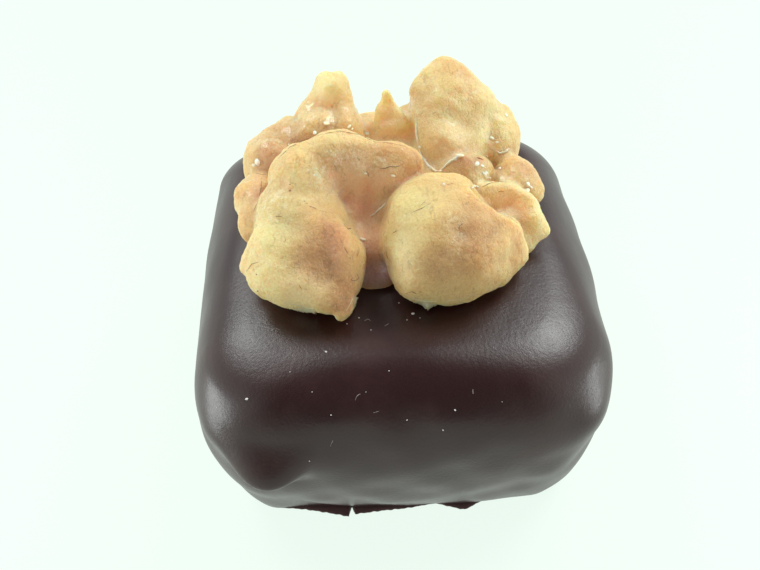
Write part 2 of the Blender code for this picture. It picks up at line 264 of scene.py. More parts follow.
block = {
    "halfWidth": 14.81, "height": 16.39, "widestLevel": 9.6,
    "shoulderReach": 4.85, "undercut": 2.36,         # how far the sides draw in at the top and the table
    "cornerLeast": 1.2,
    # right, back, left, front, each with the corner after it: pillow is how far its middle stands
    # out, below and above how fast its corner tightens with the inset
    "sides": (
        {"pillow": 0.17, "corner": 5.9, "below": 0.8, "above": 0.7, "steps": 60},
        {"pillow": 0.06, "corner": 3.8, "below": 0.5, "above": 0.4, "steps": 60},
        {"pillow": 0.15, "corner": 6.7, "below": 1.65, "above": 0.7, "steps": 60},
        {"pillow": 0.23, "corner": 7.1, "below": 1.65, "above": 0.7, "steps": 150},
    ),
    "cornerSteps": 36, "sideLevels": 72, "shoulderSteps": 56, "topRings": 14,
    "footLevels": (0, 0.07, 0.14), "flakeLevels": 10,
}
coating = {
    "waveDepth": 0.07, "waveAcross": 0.41, "waveBack": 0.33, "waveUp": 0.5, "wavePhases": (0.9, -0.4),
    "waveUpShare": 0.6,
    "swellings": {           # x, y, z, spread, amount outwards
        "cornerRight": (12.4, -12.6, 11.4, 2.0, 0.50),
        "underCornerRight": (12.2, -12.2, 6.8, 1.9, -0.22),
        "cornerLeft": (-12.6, -12.4, 11.9, 1.6, 0.24),
        "underDrip": (-8.4, -13.2, 1.0, 4.0, -0.42),
    },
    "ripples": 16, "rippleDepth": 0.010, "rippleSizes": (2.5, 7.0), "rippleSeed": 4,
}
flats = {                    # low sloping domes of the top's front corners
    "drop": 0.45, "size": 5.0,       # depth of their middles under the top, where their bend levels out
    "domes": {               # middle x and y, slope, its azimuth from the front, curvature, rounding
        "right": (9.3, -9.4, 0.27, 48, 0.060, 0.6),
        "left": (-10.2, -8.2, 0.25, -60, 0.055, 0.6),
    },
}
drip = {                     # rounded lip at the left end of the front, heights above the table
    "x": -9.2, "halfWidth": 3.6, "top": 12.8, "lip": 9.7, "lipRise": 2.0, "reach": 1.15, "taper": 2.0,
    "edge": 1.1, "edgeSpread": 1.8,
}
foot = {                     # thin set coating along the bottom of the front
    # start and end along x, reach, where between them it reaches furthest
    "tongues": ((-9.8, -4.45, 0.85, 0.97), (-4.4, 2.0, 0.62, 0.03), (2.0, 5.4, 0.55, 0.62)),
    "thickness": 0.2, "slope": 0.18, "ragged": 0.02, "raggedTurns": (7.3, 12.1),
    # the foot's colour is painted light: a lighter, redder tone for the thin flake lit from above and through
    "edgeGain": 4,           # how fast its ragged edge and its colour come with its reach
}


def smooth(low, high, value):
    t = np.clip((value - low) / (high - low), 0, 1)
    return t * t * (3 - 2 * t)


def blockLevels():           # inset and height of each ring
    top, widest = block["height"], block["widestLevel"]
    flake = foot["thickness"] + foot["slope"]
    edge = np.linspace(foot["thickness"], flake, block["flakeLevels"])
    side = np.linspace(flake, widest, block["sideLevels"])[1:-1]
    heights = np.concatenate((block["footLevels"], edge, side))
    insets = block["undercut"] * (1 - heights / widest) ** 2
    turns = np.linspace(0, math.pi / 2, block["shoulderSteps"])
    return (np.concatenate((insets, block["shoulderReach"] * (1 - np.cos(turns)))),
            np.concatenate((heights, widest + (top - widest) * np.sin(turns))))


def blockRing(inset, height):        # places and outward directions round one ring
    part = "below" if height < block["widestLevel"] else "above"
    sides = block["sides"]
    corners = [max(side["corner"] - side[part] * inset, block["cornerLeast"]) for side in sides]
    halves = [block["halfWidth"] - inset - side["pillow"] for side in sides]
    places, aways = [], []
    for quarter, side in enumerate(sides):
        cosine, sine = ((1, 0), (0, 1), (-1, 0), (0, -1))[quarter]
        turned = np.array(((cosine, sine), (-sine, cosine)))
        corner, half, nextHalf = corners[quarter], halves[quarter], halves[(quarter + 1) % 4]
        low, high = corners[quarter - 1] - halves[quarter - 1], nextHalf - corner
        t = np.linspace(0, 1, side["steps"] + 1)
        out = half + 4 * side["pillow"] * t * (1 - t)
        along = low + (high - low) * t
        turns = np.linspace(0, math.pi / 2, block["cornerSteps"] + 1)[1:-1]
        out = np.concatenate((out, half - corner + corner * np.cos(turns)))
        along = np.concatenate((along, high + corner * np.sin(turns)))
        awayOut = np.concatenate((np.ones_like(t), np.cos(turns)))
        awayAlong = np.concatenate((np.zeros_like(t), np.sin(turns)))
        places.append(np.column_stack((out, along)) @ turned)
        aways.append(np.column_stack((awayOut, awayAlong)) @ turned)
    return np.concatenate(places), np.concatenate(aways)


def coatingRelief(x, y, z):          # how far the coating stands out
    level = np.sin(coating["waveAcross"] * x + coating["wavePhases"][0])
    level = level * np.cos(coating["waveBack"] * y + coating["wavePhases"][1])
    upright = np.sin(coating["waveUp"] * z + coating["waveAcross"] * x)
    out = coating["waveDepth"] * (level + coating["waveUpShare"] * upright)
    for atX, atY, atZ, spread, amount in coating["swellings"].values():
        out += amount * np.exp(-((x - atX) ** 2 + (y - atY) ** 2 + (z - atZ) ** 2) / spread ** 2)
    draw = np.random.default_rng(coating["rippleSeed"])
    for _ in range(coating["ripples"]):
        way = draw.normal(size=3)
        way /= np.linalg.norm(way)
        size = draw.uniform(*coating["rippleSizes"])
        turn = (x * way[0] + y * way[1] + z * way[2]) * 2 * math.pi / size + draw.uniform(0, 2 * math.pi)
        out += coating["rippleDepth"] * size / coating["rippleSizes"][0] * np.sin(turn)
    return out * (1 - smooth((block["height"] + block["widestLevel"]) / 2, block["height"], z))


def dripRelief(x, y, z):
    across = (x - drip["x"]) / drip["halfWidth"]
    sideways = np.clip(1 - across ** 2, 0, 1) ** drip["taper"]
    lip = drip["lip"] + drip["lipRise"] * across ** 2
    grown = smooth(0, drip["top"] - lip, drip["top"] - z)
    under = smooth(lip - drip["edge"] - drip["edgeSpread"] * across ** 2, lip, z)
    return np.where(y < 0, drip["reach"] * sideways * grown * under, 0)


def footRelief(x, y, z):
    out = np.zeros_like(x)
    for start, end, reach, furthest in foot["tongues"]:
        along = np.clip((x - start) / (end - start), 0, 1)
        out += reach * np.minimum(along / furthest, (1 - along) / (1 - furthest))
    for turns in foot["raggedTurns"]:
        out += foot["ragged"] * np.sin(turns * x) * np.clip(out * foot["edgeGain"], 0, 1)
    return np.where(y < 0, out * (1 - smooth(foot["thickness"], foot["thickness"] + foot["slope"], z)), 0)


def smoothLeast(one, other, rounding):
    share = np.clip(0.5 + 0.5 * (other - one) / rounding, 0, 1)
    return other + (one - other) * share - rounding * share * (1 - share)


def sloped(x, y, z):
    for middleX, middleY, slope, azimuth, curvature, rounding in flats["domes"].values():
        azimuth = math.radians(azimuth)
        awayX, awayY = x - middleX, y - middleY
        along = awayX * math.sin(azimuth) - awayY * math.cos(azimuth)
        away = awayX ** 2 + awayY ** 2
        bend = curvature / 2 * away / (1 + away / flats["size"] ** 2)
        z = smoothLeast(z, block["height"] - flats["drop"] - slope * along - bend, rounding)
    return z


def makeBlock(material):
    rings, flakes = [], []
    for inset, height in zip(*blockLevels()):
        place, away = blockRing(inset, height)
        x, y = place.T
        z = np.full_like(x, height)
        flake = footRelief(x, y, z)
        out = dripRelief(x, y, z) + flake + coatingRelief(x, y, z)
        rings.append(np.column_stack((place + away * out[:, None], z)))
        flakes.append(np.clip(flake * foot["edgeGain"], 0, 1))
    edge = rings[-1]
    for step in range(1, block["topRings"]):
        scale = 1 - step / block["topRings"]
        rings.append(edge * (scale, scale, 1))
    for ring in rings:
        ring[:, 2] = sloped(*ring.T)
    count = len(rings[0])
    points = np.concatenate(rings + [[(0, 0, 0), (0, 0, block["height"])]]) * mm
    bottom, top = len(points) - 2, len(points) - 1
    last = count * (len(rings) - 1)
    faces = []
    for i in range(count):
        j = (i + 1) % count
        faces += [(row + i, row + j, row + count + j, row + count + i) for row in range(0, last, count)]
        faces += [(bottom, j, i), (last + i, last + j, top)]
    made = meshFrom("chocolateCoating", points.tolist(), faces, material)
    # share of the foot, where its painted light colour goes
    share = np.zeros(len(points))
    share[:count * len(flakes)] = np.concatenate(flakes)
    made.data.attributes.new("foot", "FLOAT", "POINT").data.foreach_set("value", share)
    return made


chocolateLook = {            # sizes and depths in mm
    # foot: painted light, a lighter reddish tone for the lit, thin flake at the bottom of the front
    "dark": (0.027, 0.0068, 0.0066), "light": (0.044, 0.016, 0.014), "foot": (0.105, 0.055, 0.050),
    "ior": 1.5, "specular": 0.5, "cloudSize": 3.5, "bloom": (0.42, 0.72),
    "streakSize": 0.5, "streakStretch": (1.0, 0.25, 0.25),
    "roughness": 0.33, "cloudRoughness": 0.08, "grainRoughness": 0.08, "streakRoughness": 0.05,
    "grainSize": 0.21, "grainDepth": 0.014, "swirlSize": 1.6, "swirlDepth": 0.02,
}


def chocolateMaterial():
    look = chocolateLook
    uniform = {"IOR": look["ior"], "Specular IOR Level": look["specular"]}
    made, sheet, shader = newMaterial("darkCoating", uniform)
    place = objectPlace(sheet)
    clouds = sheet.noise(place, look["cloudSize"], seed=1.0, detail=4.0)
    grain = sheet.noise(place, look["grainSize"], seed=2.0, detail=2.0, rough=0.7)
    stretched = sheet.vector("MULTIPLY", place, look["streakStretch"])
    streaks = sheet.noise(stretched, look["streakSize"], seed=5.0, detail=3.0)
    bloom = sheet.span(clouds, *look["bloom"]) * (0.5 + 0.5 * grain)
    colour = sheet.mix(bloom, look["dark"], look["light"])
    # painted light on the foot's flake
    colour = sheet.mix(attribute(sheet, "foot"), colour, look["foot"])
    sheet.feed(shader.inputs["Base Color"], colour)
    roughness = look["roughness"] + look["cloudRoughness"] * (clouds - 0.5)
    roughness = roughness + look["grainRoughness"] * (grain - 0.5)
    roughness = roughness + look["streakRoughness"] * (streaks - 0.5)
    sheet.feed(shader.inputs["Roughness"], roughness)
    swirl = sheet.noise(place, look["swirlSize"], seed=3.0, detail=2.0)
    height = look["grainDepth"] * grain + look["swirlDepth"] * swirl
    bump = sheet.add("ShaderNodeBump", None, {"Strength": 1.0, "Distance": mm, "Height": height})
    sheet.feed(shader.inputs["Normal"], bump)
    return made


coated = makeBlock(chocolateMaterial())
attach(coated, "root")
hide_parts("chocolate")
print("coating made:", len(coated.data.polygons), "faces")


# Walnut half: ellipsoid lobes in masses, meshed from one distance field, in millimetres above
# the block's top. blend rounds the creases inside a mass, join those to the masses before it.

walnut = {
    "standsAt": 16.4,        # height of the block's top
    "cell": 0.13, "floor": -0.12, "floorRound": 0.5, "seed": 3.0, "wrinkles": 1.0,
    "low": (-13.2, -10.4, -0.8), "high": (12.4, 13.6, 9.8),
    "warps": ((4.5, 0.9, 0.0), (1.8, 0.28, 5.0)),     # size, amount, added to the seed
    "probe": 0.7, "wideProbe": 2.4,      # how far from the skin creases and hollows are felt
    "markMost": 1.5, "steepnessLeast": 0.0001,
    "lumps": (1.3, 0.14), "folds": (0.75, 0.045), "grit": (0.28, 0.08),       # size and height
    "foldSharpness": 7.0, "plain": (0.1, 0.6),        # heights between which the wrinkles set in
}
masses = {                   # blend, join, lobes: centre and radii
    "core": (1.0, 0.0, {
        "middle": (-0.3, 3.4, 1.5, 8.6, 7.2, 2.2),
        "web": (-1.5, -2.0, 0.1, 2.4, 3.2, 1.7),
    }),
    "arch": (1.3, 0.6, {
        "rimLeft": (-7.7, -4.0, 2.6, 2.2, 2.5, 2.2),
        "front": (-5.8, -5.2, 2.4, 3.2, 2.3, 2.2),
        "tip": (-4.9, -6.2, 1.9, 1.9, 1.9, 1.6),
        "spur": (-3.8, -7.35, 0.9, 0.45, 0.95, 0.6),
        "spurLeft": (-9.65, -3.65, 1.6, 0.7, 0.8, 0.6),
        "inner": (-3.6, -4.2, 2.6, 1.5, 2.6, 2.4),
        "top": (-6.2, -1.4, 3.4, 2.8, 2.6, 2.3),
        "saddle": (-5.3, -3.0, 3.2, 2.0, 2.0, 1.6),
        "armLeft": (-5.9, 1.0, 5.0, 2.2, 2.2, 2.3),
        "bridge": (-2.8, 2.0, 5.3, 3.4, 1.6, 2.4),
        "wall": (-1.6, 1.7, 3.0, 3.4, 2.0, 2.9),
        "ramp": (-1.8, -0.2, 1.6, 2.4, 2.0, 2.0),
        "armRight": (0.4, 1.6, 4.9, 1.9, 1.5, 2.0),
    }),
    "frontRight": (1.5, 0.6, {
        "main": (3.4, -3.8, 2.8, 4.2, 3.8, 3.2),
        "outer": (5.6, -3.2, 2.6, 2.4, 3.0, 2.6),
        "side": (6.8, -3.8, 1.4, 2.0, 2.3, 1.7),
        "inner": (0.7, -2.6, 3.0, 1.8, 2.6, 2.4),
        "front": (2.7, -5.2, 1.9, 3.3, 2.05, 1.9),
        "plateau": (3.0, -1.2, 3.7, 2.8, 2.0, 1.9),
    }),
    "leaf": (0.7, 0.3, {
        "top": (6.6, 0.5, 2.6, 1.3, 0.9, 1.3),
        "shoulder": (8.0, 0.4, 2.6, 1.2, 0.9, 1.2),
        "bend": (9.1, -0.3, 2.2, 0.9, 1.0, 1.2),
        "side": (9.4, -1.3, 1.7, 0.85, 1.3, 1.2),
        "spur": (9.75, -2.1, 1.3, 0.75, 0.45, 0.5),
        "end": (8.6, -2.4, 0.9, 0.9, 0.9, 0.9),
        "floor": (7.9, -0.9, 0.8, 2.1, 2.4, 1.5),
    }),
    "right": (0.6, 0.4, {
        "side": (9.0, 2.4, 2.0, 2.0, 2.1, 1.9),
        "middle": (5.2, 2.6, 2.6, 2.3, 2.0, 2.3),
    }),
    "left": (1.3, 0.6, {
        "upper": (-9.4, 2.4, 2.2, 1.8, 1.8, 1.8),
        "middle": (-9.2, 1.2, 2.1, 1.5, 1.6, 1.8),
        "lower": (-8.9, -0.1, 1.9, 1.4, 1.5, 1.7),
        "spur": (-9.7, -0.5, 1.6, 0.5, 0.5, 0.6),
    }),
    "backLeft": (0.5, 0.4, {
        "outer": (-8.1, 5.75, 2.75, 2.6, 2.95, 2.35),
        "rear": (-6.9, 7.2, 3.2, 1.8, 2.0, 1.85),
    }),
    "backLeftInner": (1.0, 0.5, {
        "left": (-5.0, 7.2, 3.6, 2.0, 2.4, 2.7),
        "right": (-3.2, 7.4, 3.8, 1.6, 2.2, 2.5),
        "fingerLeft": (-4.5, 9.0, 6.1, 0.9, 0.95, 1.75),
        "fingerRight": (-3.5, 9.0, 5.8, 0.85, 0.95, 2.0),
        "fingerFront": (-4.0, 8.2, 5.9, 1.35, 1.1, 1.8),
        "fingerFoot": (-4.2, 8.4, 4.5, 2.0, 1.5, 2.0),
    }),
    "valley": (0.4, 0.6, {
        "saddle": (-0.2, 8.2, 2.4, 4.2, 2.4, 2.1),
        "saddleRight": (1.7, 8.6, 3.0, 1.6, 1.6, 2.0),
        "thornFoot": (0.2, 7.4, 3.8, 1.2, 1.0, 1.9),
        "thorn": (0.0, 7.6, 4.9, 1.05, 0.65, 1.75),
        "thornTip": (0.05, 7.75, 6.2, 0.5, 0.42, 1.3),
    }),
    "backRight": (2.0, 0.6, {
        "main": (4.6, 8.7, 4.7, 2.6, 2.6, 3.45),
        "crown": (3.9, 9.1, 5.5, 2.0, 1.9, 2.1),
        "shoulder": (6.5, 7.9, 3.7, 2.0, 2.6, 2.7),
        "foot": (4.4, 5.6, 3.2, 2.4, 2.8, 2.8),
        "front": (4.6, 7.2, 4.2, 2.3, 2.2, 2.9),
    }),
    "backRightOuter": (0.8, 1.2, {
        "outer": (8.2, 6.6, 2.8, 1.7, 2.3, 2.3),
    }),
}
scoops = {                   # hollows: centre, radii, rounding of their lips
    "underBridge": (-1.4, -1.2, 8.6, 3.2, 2.5, 2.9, 0.9),
    "groove": (-1.9, -2.2, 4.9, 1.5, 2.4, 2.2, 0.9),
    "leaf": (7.4, -1.5, 5.2, 2.3, 2.1, 2.5, 0.5),
}
dimples = {                  # centre, spread, depth
    "frontLeft": (-4.9, -6.4, 3.4, 2.1, 1.5, 1.8, 0.85),
    "frontRight": (4.2, -5.6, 5.2, 0.8, 2.2, 1.6, 0.22),
    "frontRightLow": (2.2, -6.6, 4.2, 1.2, 1.4, 1.4, 0.25),
}


def nearness(sheet, place, centre, spread):      # 1 at the centre, falling to 0
    away = sheet.length(sheet.vector("DIVIDE", sheet.vector("SUBTRACT", place, centre), spread))
    return sheet.number("EXPONENT", -(away * away))


def lobeTree():
    start = (0.0, 0.0, 0.0)
    inputs = {"Position": start, "Centre": start, "Radii": start}
    sheet, given, result = newTree("lobe", inputs, ("Distance", "NodeSocketFloat"))
    away = sheet.vector("SUBTRACT", given["Position"], given["Centre"])
    near = sheet.vector("DIVIDE", away, given["Radii"])
    reach = sheet.length(near)
    steepness = sheet.length(sheet.vector("DIVIDE", near, given["Radii"]))
    steepness = sheet.number("MAXIMUM", steepness, walnut["steepnessLeast"])
    sheet.tree.links.new((reach * (reach - 1.0) / steepness).socket, result)
    return sheet.tree


def bodyTree():              # distance from a point to the walnut's skin, negative inside
    inputs = {"Position": (0.0, 0.0, 0.0), "Seed": 0.0}
    sheet, given, result = newTree("walnutBody", inputs, ("Distance", "NodeSocketFloat"))
    shape = lobeTree()
    place = given["Position"]
    for size, amount, step in walnut["warps"]:
        shift = sheet.noise(given["Position"], size, seed=given["Seed"] + step, detail=1.0, colour=True)
        shift = sheet.times(sheet.vector("SUBTRACT", shift, (0.5, 0.5, 0.5)), 2 * amount)
        place = sheet.vector("ADD", place, shift)

    def lobe(values):
        sockets = {"Position": place, "Centre": values[0:3], "Radii": values[3:6]}
        return sheet.add("GeometryNodeGroup", {"node_tree": shape}, sockets)

    nut = None
    for blend, join, lobes in masses.values():
        skin = None
        for values in lobes.values():
            skin = lobe(values) if skin is None else sheet.number("SMOOTH_MIN", skin, lobe(values), blend)
        nut = skin if nut is None else sheet.number("SMOOTH_MIN", nut, skin, join)
    for values in scoops.values():
        nut = sheet.number("SMOOTH_MAX", nut, -lobe(values), values[6])
    for values in dimples.values():
        nut = nut + values[6] * nearness(sheet, place, values[0:3], values[3:6])
    sheet.tree.links.new(nut.socket, result)
    return sheet.tree


# Where the skin's colours and its painted light and shade lie: centre, spread, strength
tints = {
    "cream": {               # pale yellow, the skin's own colour; backRightFoot is painted light on a face the lamps leave dark
        "frontLeft": (-8.0, -4.0, 4.6, 2.2, 3.2, 2.0, 1.0),
        "frontRight": (1.2, -3.2, 5.6, 2.0, 2.2, 1.8, 0.8),
        "frontRightLeft": (0.4, -6.0, 4.0, 1.2, 2.6, 1.4, 0.8),
        "finger": (-4.0, 8.4, 7.6, 1.6, 1.2, 1.1, 1.3),
        "thorn": (-0.3, 7.2, 5.2, 0.8, 0.8, 1.4, 0.7),
        "backRightFoot": (3.4, 4.2, 5.0, 2.0, 1.6, 1.8, 0.4),
        "backRightSide": (7.8, 6.3, 5.3, 1.2, 1.8, 2.0, 0.8),
        "leafRim": (9.5, -1.8, 2.4, 1.0, 1.8, 1.4, 1.0),
        "bridge": (-3.4, 1.6, 7.2, 2.2, 1.0, 0.9, 0.5),
        "frontLeftFoot": (-7.2, -7.2, 2.6, 2.4, 1.4, 1.6, 0.7),
        "backRightTop": (3.2, 8.8, 7.6, 1.6, 1.4, 1.2, 0.4),
    },
    "glow": {                # painted light: light peach in hollows, grooves and front faces, and on the thorn and finger where light shines through
        "thorn": (0.0, 7.1, 5.0, 1.4, 1.2, 2.2, 1.2),
        "valley": (-1.6, 7.4, 3.8, 1.3, 1.6, 1.2, 0.6),
        "valleyRight": (1.7, 7.1, 4.4, 1.2, 1.6, 1.4, 1.2),
        "leafFace": (8.9, -1.0, 3.0, 0.8, 0.9, 0.8, 0.7),
        "leafEnd": (9.8, -2.5, 1.7, 0.7, 0.8, 0.8, 0.7),
        "backRight": (3.9, 3.8, 4.9, 2.0, 1.4, 1.6, 0.8),
        "fingerFoot": (-4.7, 7.0, 5.8, 1.6, 1.4, 1.0, 0.4),
        "grooveLeft": (-3.4, 0.4, 5.5, 1.3, 1.0, 1.4, 0.8),
        "grooveBack": (-1.8, 0.1, 4.5, 1.4, 1.0, 1.2, 0.6),
        "bridge": (-2.6, 1.3, 7.2, 1.8, 1.2, 1.0, 0.3),
        "armRight": (0.0, 0.2, 5.2, 1.4, 0.6, 1.0, 0.9),
        "frontRightLeft": (0.2, -6.2, 3.8, 0.9, 1.8, 1.4, 0.5),
        "tipLeft": (-6.2, -7.4, 3.0, 1.6, 1.2, 1.2, 0.5),
        "leafHollow": (7.4, -0.6, 2.9, 1.3, 1.3, 1.2, 0.9),
    },
    "light": {               # painted light: bright pale yellow on faces that get too little light
        "finger": (-3.9, 7.5, 7.0, 1.5, 1.0, 1.8, 0.8),
        "backRight": (4.6, 6.1, 6.6, 2.6, 1.4, 1.4, 0.4),
        "backRightOuter": (7.4, 5.0, 4.2, 1.2, 1.2, 1.2, 1.7),
        "valleyRight": (1.8, 7.1, 4.4, 0.9, 1.0, 1.0, 1.0),
        "thornLeft": (-0.8, 7.4, 4.7, 0.5, 0.8, 1.2, 1.0),
        "rightMiddle": (6.2, 1.2, 3.9, 0.8, 0.6, 0.7, 0.7),
        "rightSide": (7.4, 1.6, 3.9, 1.2, 1.0, 1.0, 0.5),
        "leafEdge": (9.6, -2.0, 2.2, 0.9, 1.4, 1.2, 0.5),
        "leafTop": (7.6, 0.6, 3.7, 1.6, 0.7, 0.6, 0.25),
        "archLeft": (-6.2, -0.8, 6.4, 1.4, 0.9, 1.0, 0.6),
        "frontLeft": (-8.6, -5.4, 3.7, 1.2, 1.8, 1.0, 0.4),
    },
    "wet": {                 # glossy with oil
        "backLeft": (-7.8, 5.6, 4.6, 3.0, 3.2, 2.2, 0.55),
        "backLeftInner": (-4.2, 6.8, 5.8, 2.2, 1.6, 1.6, 0.8),
        "backRight": (5.6, 6.2, 5.4, 3.2, 3.2, 3.0, 0.5),
        "right": (7.2, 1.9, 3.8, 3.4, 1.5, 1.6, 0.7),
        "left": (-9.2, 1.4, 3.4, 1.4, 2.4, 1.8, 0.6),
        "groove": (-2.0, -1.0, 3.6, 1.6, 1.8, 1.8, 0.5),
        "leafHollow": (8.0, -0.8, 2.8, 1.4, 1.6, 1.2, 0.5),
    },
    "frost": {               # fine pale scurf
        "bridge": (-3.2, 1.0, 6.6, 1.5, 0.8, 0.7, 0.9),
        "bridgeLeft": (-4.6, -0.2, 6.0, 0.9, 1.4, 0.9, 0.7),
        "armRight": (-0.4, 0.6, 5.6, 1.1, 0.8, 0.9, 0.6),
        "grooveRight": (-0.8, -1.4, 4.2, 0.8, 1.0, 0.9, 0.5),
        "rightMiddle": (6.2, 1.2, 3.9, 0.7, 0.6, 0.7, 1.0),
        "frontLeftTop": (-7.6, -1.6, 5.2, 1.6, 1.4, 0.9, 0.6),
        "frontRight": (3.6, -5.6, 4.9, 0.6, 2.0, 1.6, 0.4),
        "leafTop": (6.4, -2.2, 4.6, 1.6, 0.9, 0.8, 0.7),
        "backLeft": (-8.4, 5.0, 5.2, 0.9, 0.8, 0.8, 0.6),
    },
    "stain": {               # tan, the skin's own colour; on rightMiddle and rightSide partly painted shade that tones down the bright right lamp
        "dimpleLeft": (-5.0, -5.9, 3.7, 1.9, 1.4, 1.8, 1.0),
        "slopeLeft": (-5.6, -3.6, 4.6, 1.6, 1.2, 1.4, 0.25),
        "tipLeft": (-3.2, -7.6, 2.0, 1.4, 1.4, 1.6, 1.0),
        "flankLeft": (-3.9, -3.9, 5.0, 0.9, 1.8, 1.0, 0.8),
        "armEnd": (1.7, 1.2, 6.0, 0.8, 0.8, 1.0, 0.5),
        "frontRightSide": (6.2, -4.4, 5.0, 1.2, 2.0, 1.2, 0.45),
        "rightTop": (9.6, 1.8, 3.8, 1.0, 1.0, 0.8, 0.4),
        "frontRight": (4.4, -5.6, 5.2, 1.4, 2.4, 2.0, 0.65),
        "frontRightLow": (2.4, -6.8, 3.8, 1.8, 1.6, 1.6, 0.6),
        "bridgeFace": (-0.6, 1.0, 6.4, 2.2, 1.2, 1.2, 0.3),
        "funnel": (-3.0, 0.3, 5.0, 2.2, 1.4, 1.6, 0.25),
        "leafCrease": (8.2, -1.2, 2.6, 1.0, 1.4, 1.0, 0.3),
        "rightMiddle": (5.6, 2.4, 4.7, 1.4, 1.2, 1.0, 1.2),
        "rightSide": (9.0, 2.4, 3.6, 1.6, 1.6, 1.2, 0.25),
        "backLeft": (-8.0, 4.6, 5.1, 1.8, 2.2, 1.6, 0.6),
        "thornSide": (0.9, 7.2, 4.4, 1.3, 1.2, 1.6, 0.4),
    },
    "flush": {               # salmon red, partly the skin's colour and partly painted bounce light in the shaded groove
        "groove": (-2.2, 0.0, 3.8, 1.4, 1.2, 1.5, 1.0),
        "grooveTop": (-2.6, 0.3, 5.5, 1.4, 0.8, 0.9, 0.4),
        "grooveLow": (-1.6, -2.3, 2.4, 1.2, 1.6, 1.2, 0.55),
        "leftSeam": (-9.2, 1.4, 3.5, 0.5, 1.6, 1.2, 0.5),
        "dimpleEdge": (-3.7, -5.4, 4.2, 0.8, 1.4, 1.2, 0.2),
        "backLeft": (-8.6, 3.4, 4.6, 1.0, 0.9, 0.9, 0.4),
    },
    "shade": {               # dark brown
        "grooveFoot": (-1.3, -4.7, 1.0, 1.5, 1.2, 1.1, 1.0),
    },
}


def walnutTree(inputs):
    sheet, given, result = newTree("walnutHalf", inputs, ("Geometry", "NodeSocketGeometry"))
    body = bodyTree()

    def distance(place):
        sockets = {"Position": place, "Seed": given["Seed"]}
        return sheet.add("GeometryNodeGroup", {"node_tree": body}, sockets)

    place = sheet.add("GeometryNodeInputPosition")
    under = given["Floor"] - sheet.add("ShaderNodeSeparateXYZ", None, {0: place}, out=2)
    nut = sheet.number("SMOOTH_MAX", distance(place), under, given["Floor rounding"])
    cells = sheet.times(sheet.vector("SUBTRACT", given["High"], given["Low"]), 1 / given["Cell"])
    counts = [sheet.add("ShaderNodeSeparateXYZ", None, {0: cells}, out=axis) for axis in range(3)]
    cube = {"Density": 0.5 - nut, "Min": given["Low"], "Max": given["High"]}
    cube.update({"Resolution " + name: count for name, count in zip("XYZ", counts)})
    volume = sheet.add("GeometryNodeVolumeCube", None, cube)
    mesh = sheet.add("GeometryNodeVolumeToMesh", None, {"Volume": volume, "Threshold": 0.5})

    normal = sheet.add("GeometryNodeInputNormal")

    def openness(probe):     # how much the distance grows along the normal: 1 on a flat, less in a crease
        return distance(sheet.vector("ADD", place, sheet.times(normal, probe))) / probe

    marks = {name: 1.0 - openness(probe) for name, probe in (
        ("crease", walnut["probe"]), ("hollow", walnut["wideProbe"]), ("ridge", -walnut["probe"]))}
    for name, patches in tints.items():
        marks[name] = sum((nearness(sheet, place, v[0:3], v[3:6]) * v[6] for v in patches.values()), 0.0)
    stored = {"data_type": "FLOAT", "domain": "POINT"}
    for name, value in marks.items():
        value = sheet.number("MINIMUM", value, walnut["markMost"])
        sockets = {"Geometry": mesh, "Name": name, "Value": value}
        mesh = sheet.add("GeometryNodeStoreNamedAttribute", stored, sockets)

    (lumpSize, lumpRise), (foldSize, foldDepth), (gritSize, gritRise) = (
        walnut[name] for name in ("lumps", "folds", "grit"))
    lumps = sheet.noise(place, lumpSize, seed=given["Seed"] + 1.0, detail=2.0) - 0.5
    folds = sheet.noise(place, foldSize, seed=given["Seed"] + 2.0, detail=3.0)
    folds = 1.0 - sheet.number("ABSOLUTE", folds - 0.5) * walnut["foldSharpness"]
    folds = sheet.number("MAXIMUM", folds, 0.0) ** 2.0
    grit = sheet.noise(place, gritSize, seed=given["Seed"] + 3.0, detail=2.0) - 0.5
    rise = (lumpRise * lumps - foldDepth * folds + gritRise * grit) * given["Wrinkles"]
    height = sheet.add("ShaderNodeSeparateXYZ", None, {0: place}, out=2)
    rise = rise * sheet.span(height, *walnut["plain"])
    moved = {"Geometry": mesh, "Offset": sheet.times(normal, rise)}
    mesh = sheet.add("GeometryNodeSetPosition", None, moved)
    return endTree(sheet, mesh, given["Skin"], result, walnut["standsAt"])


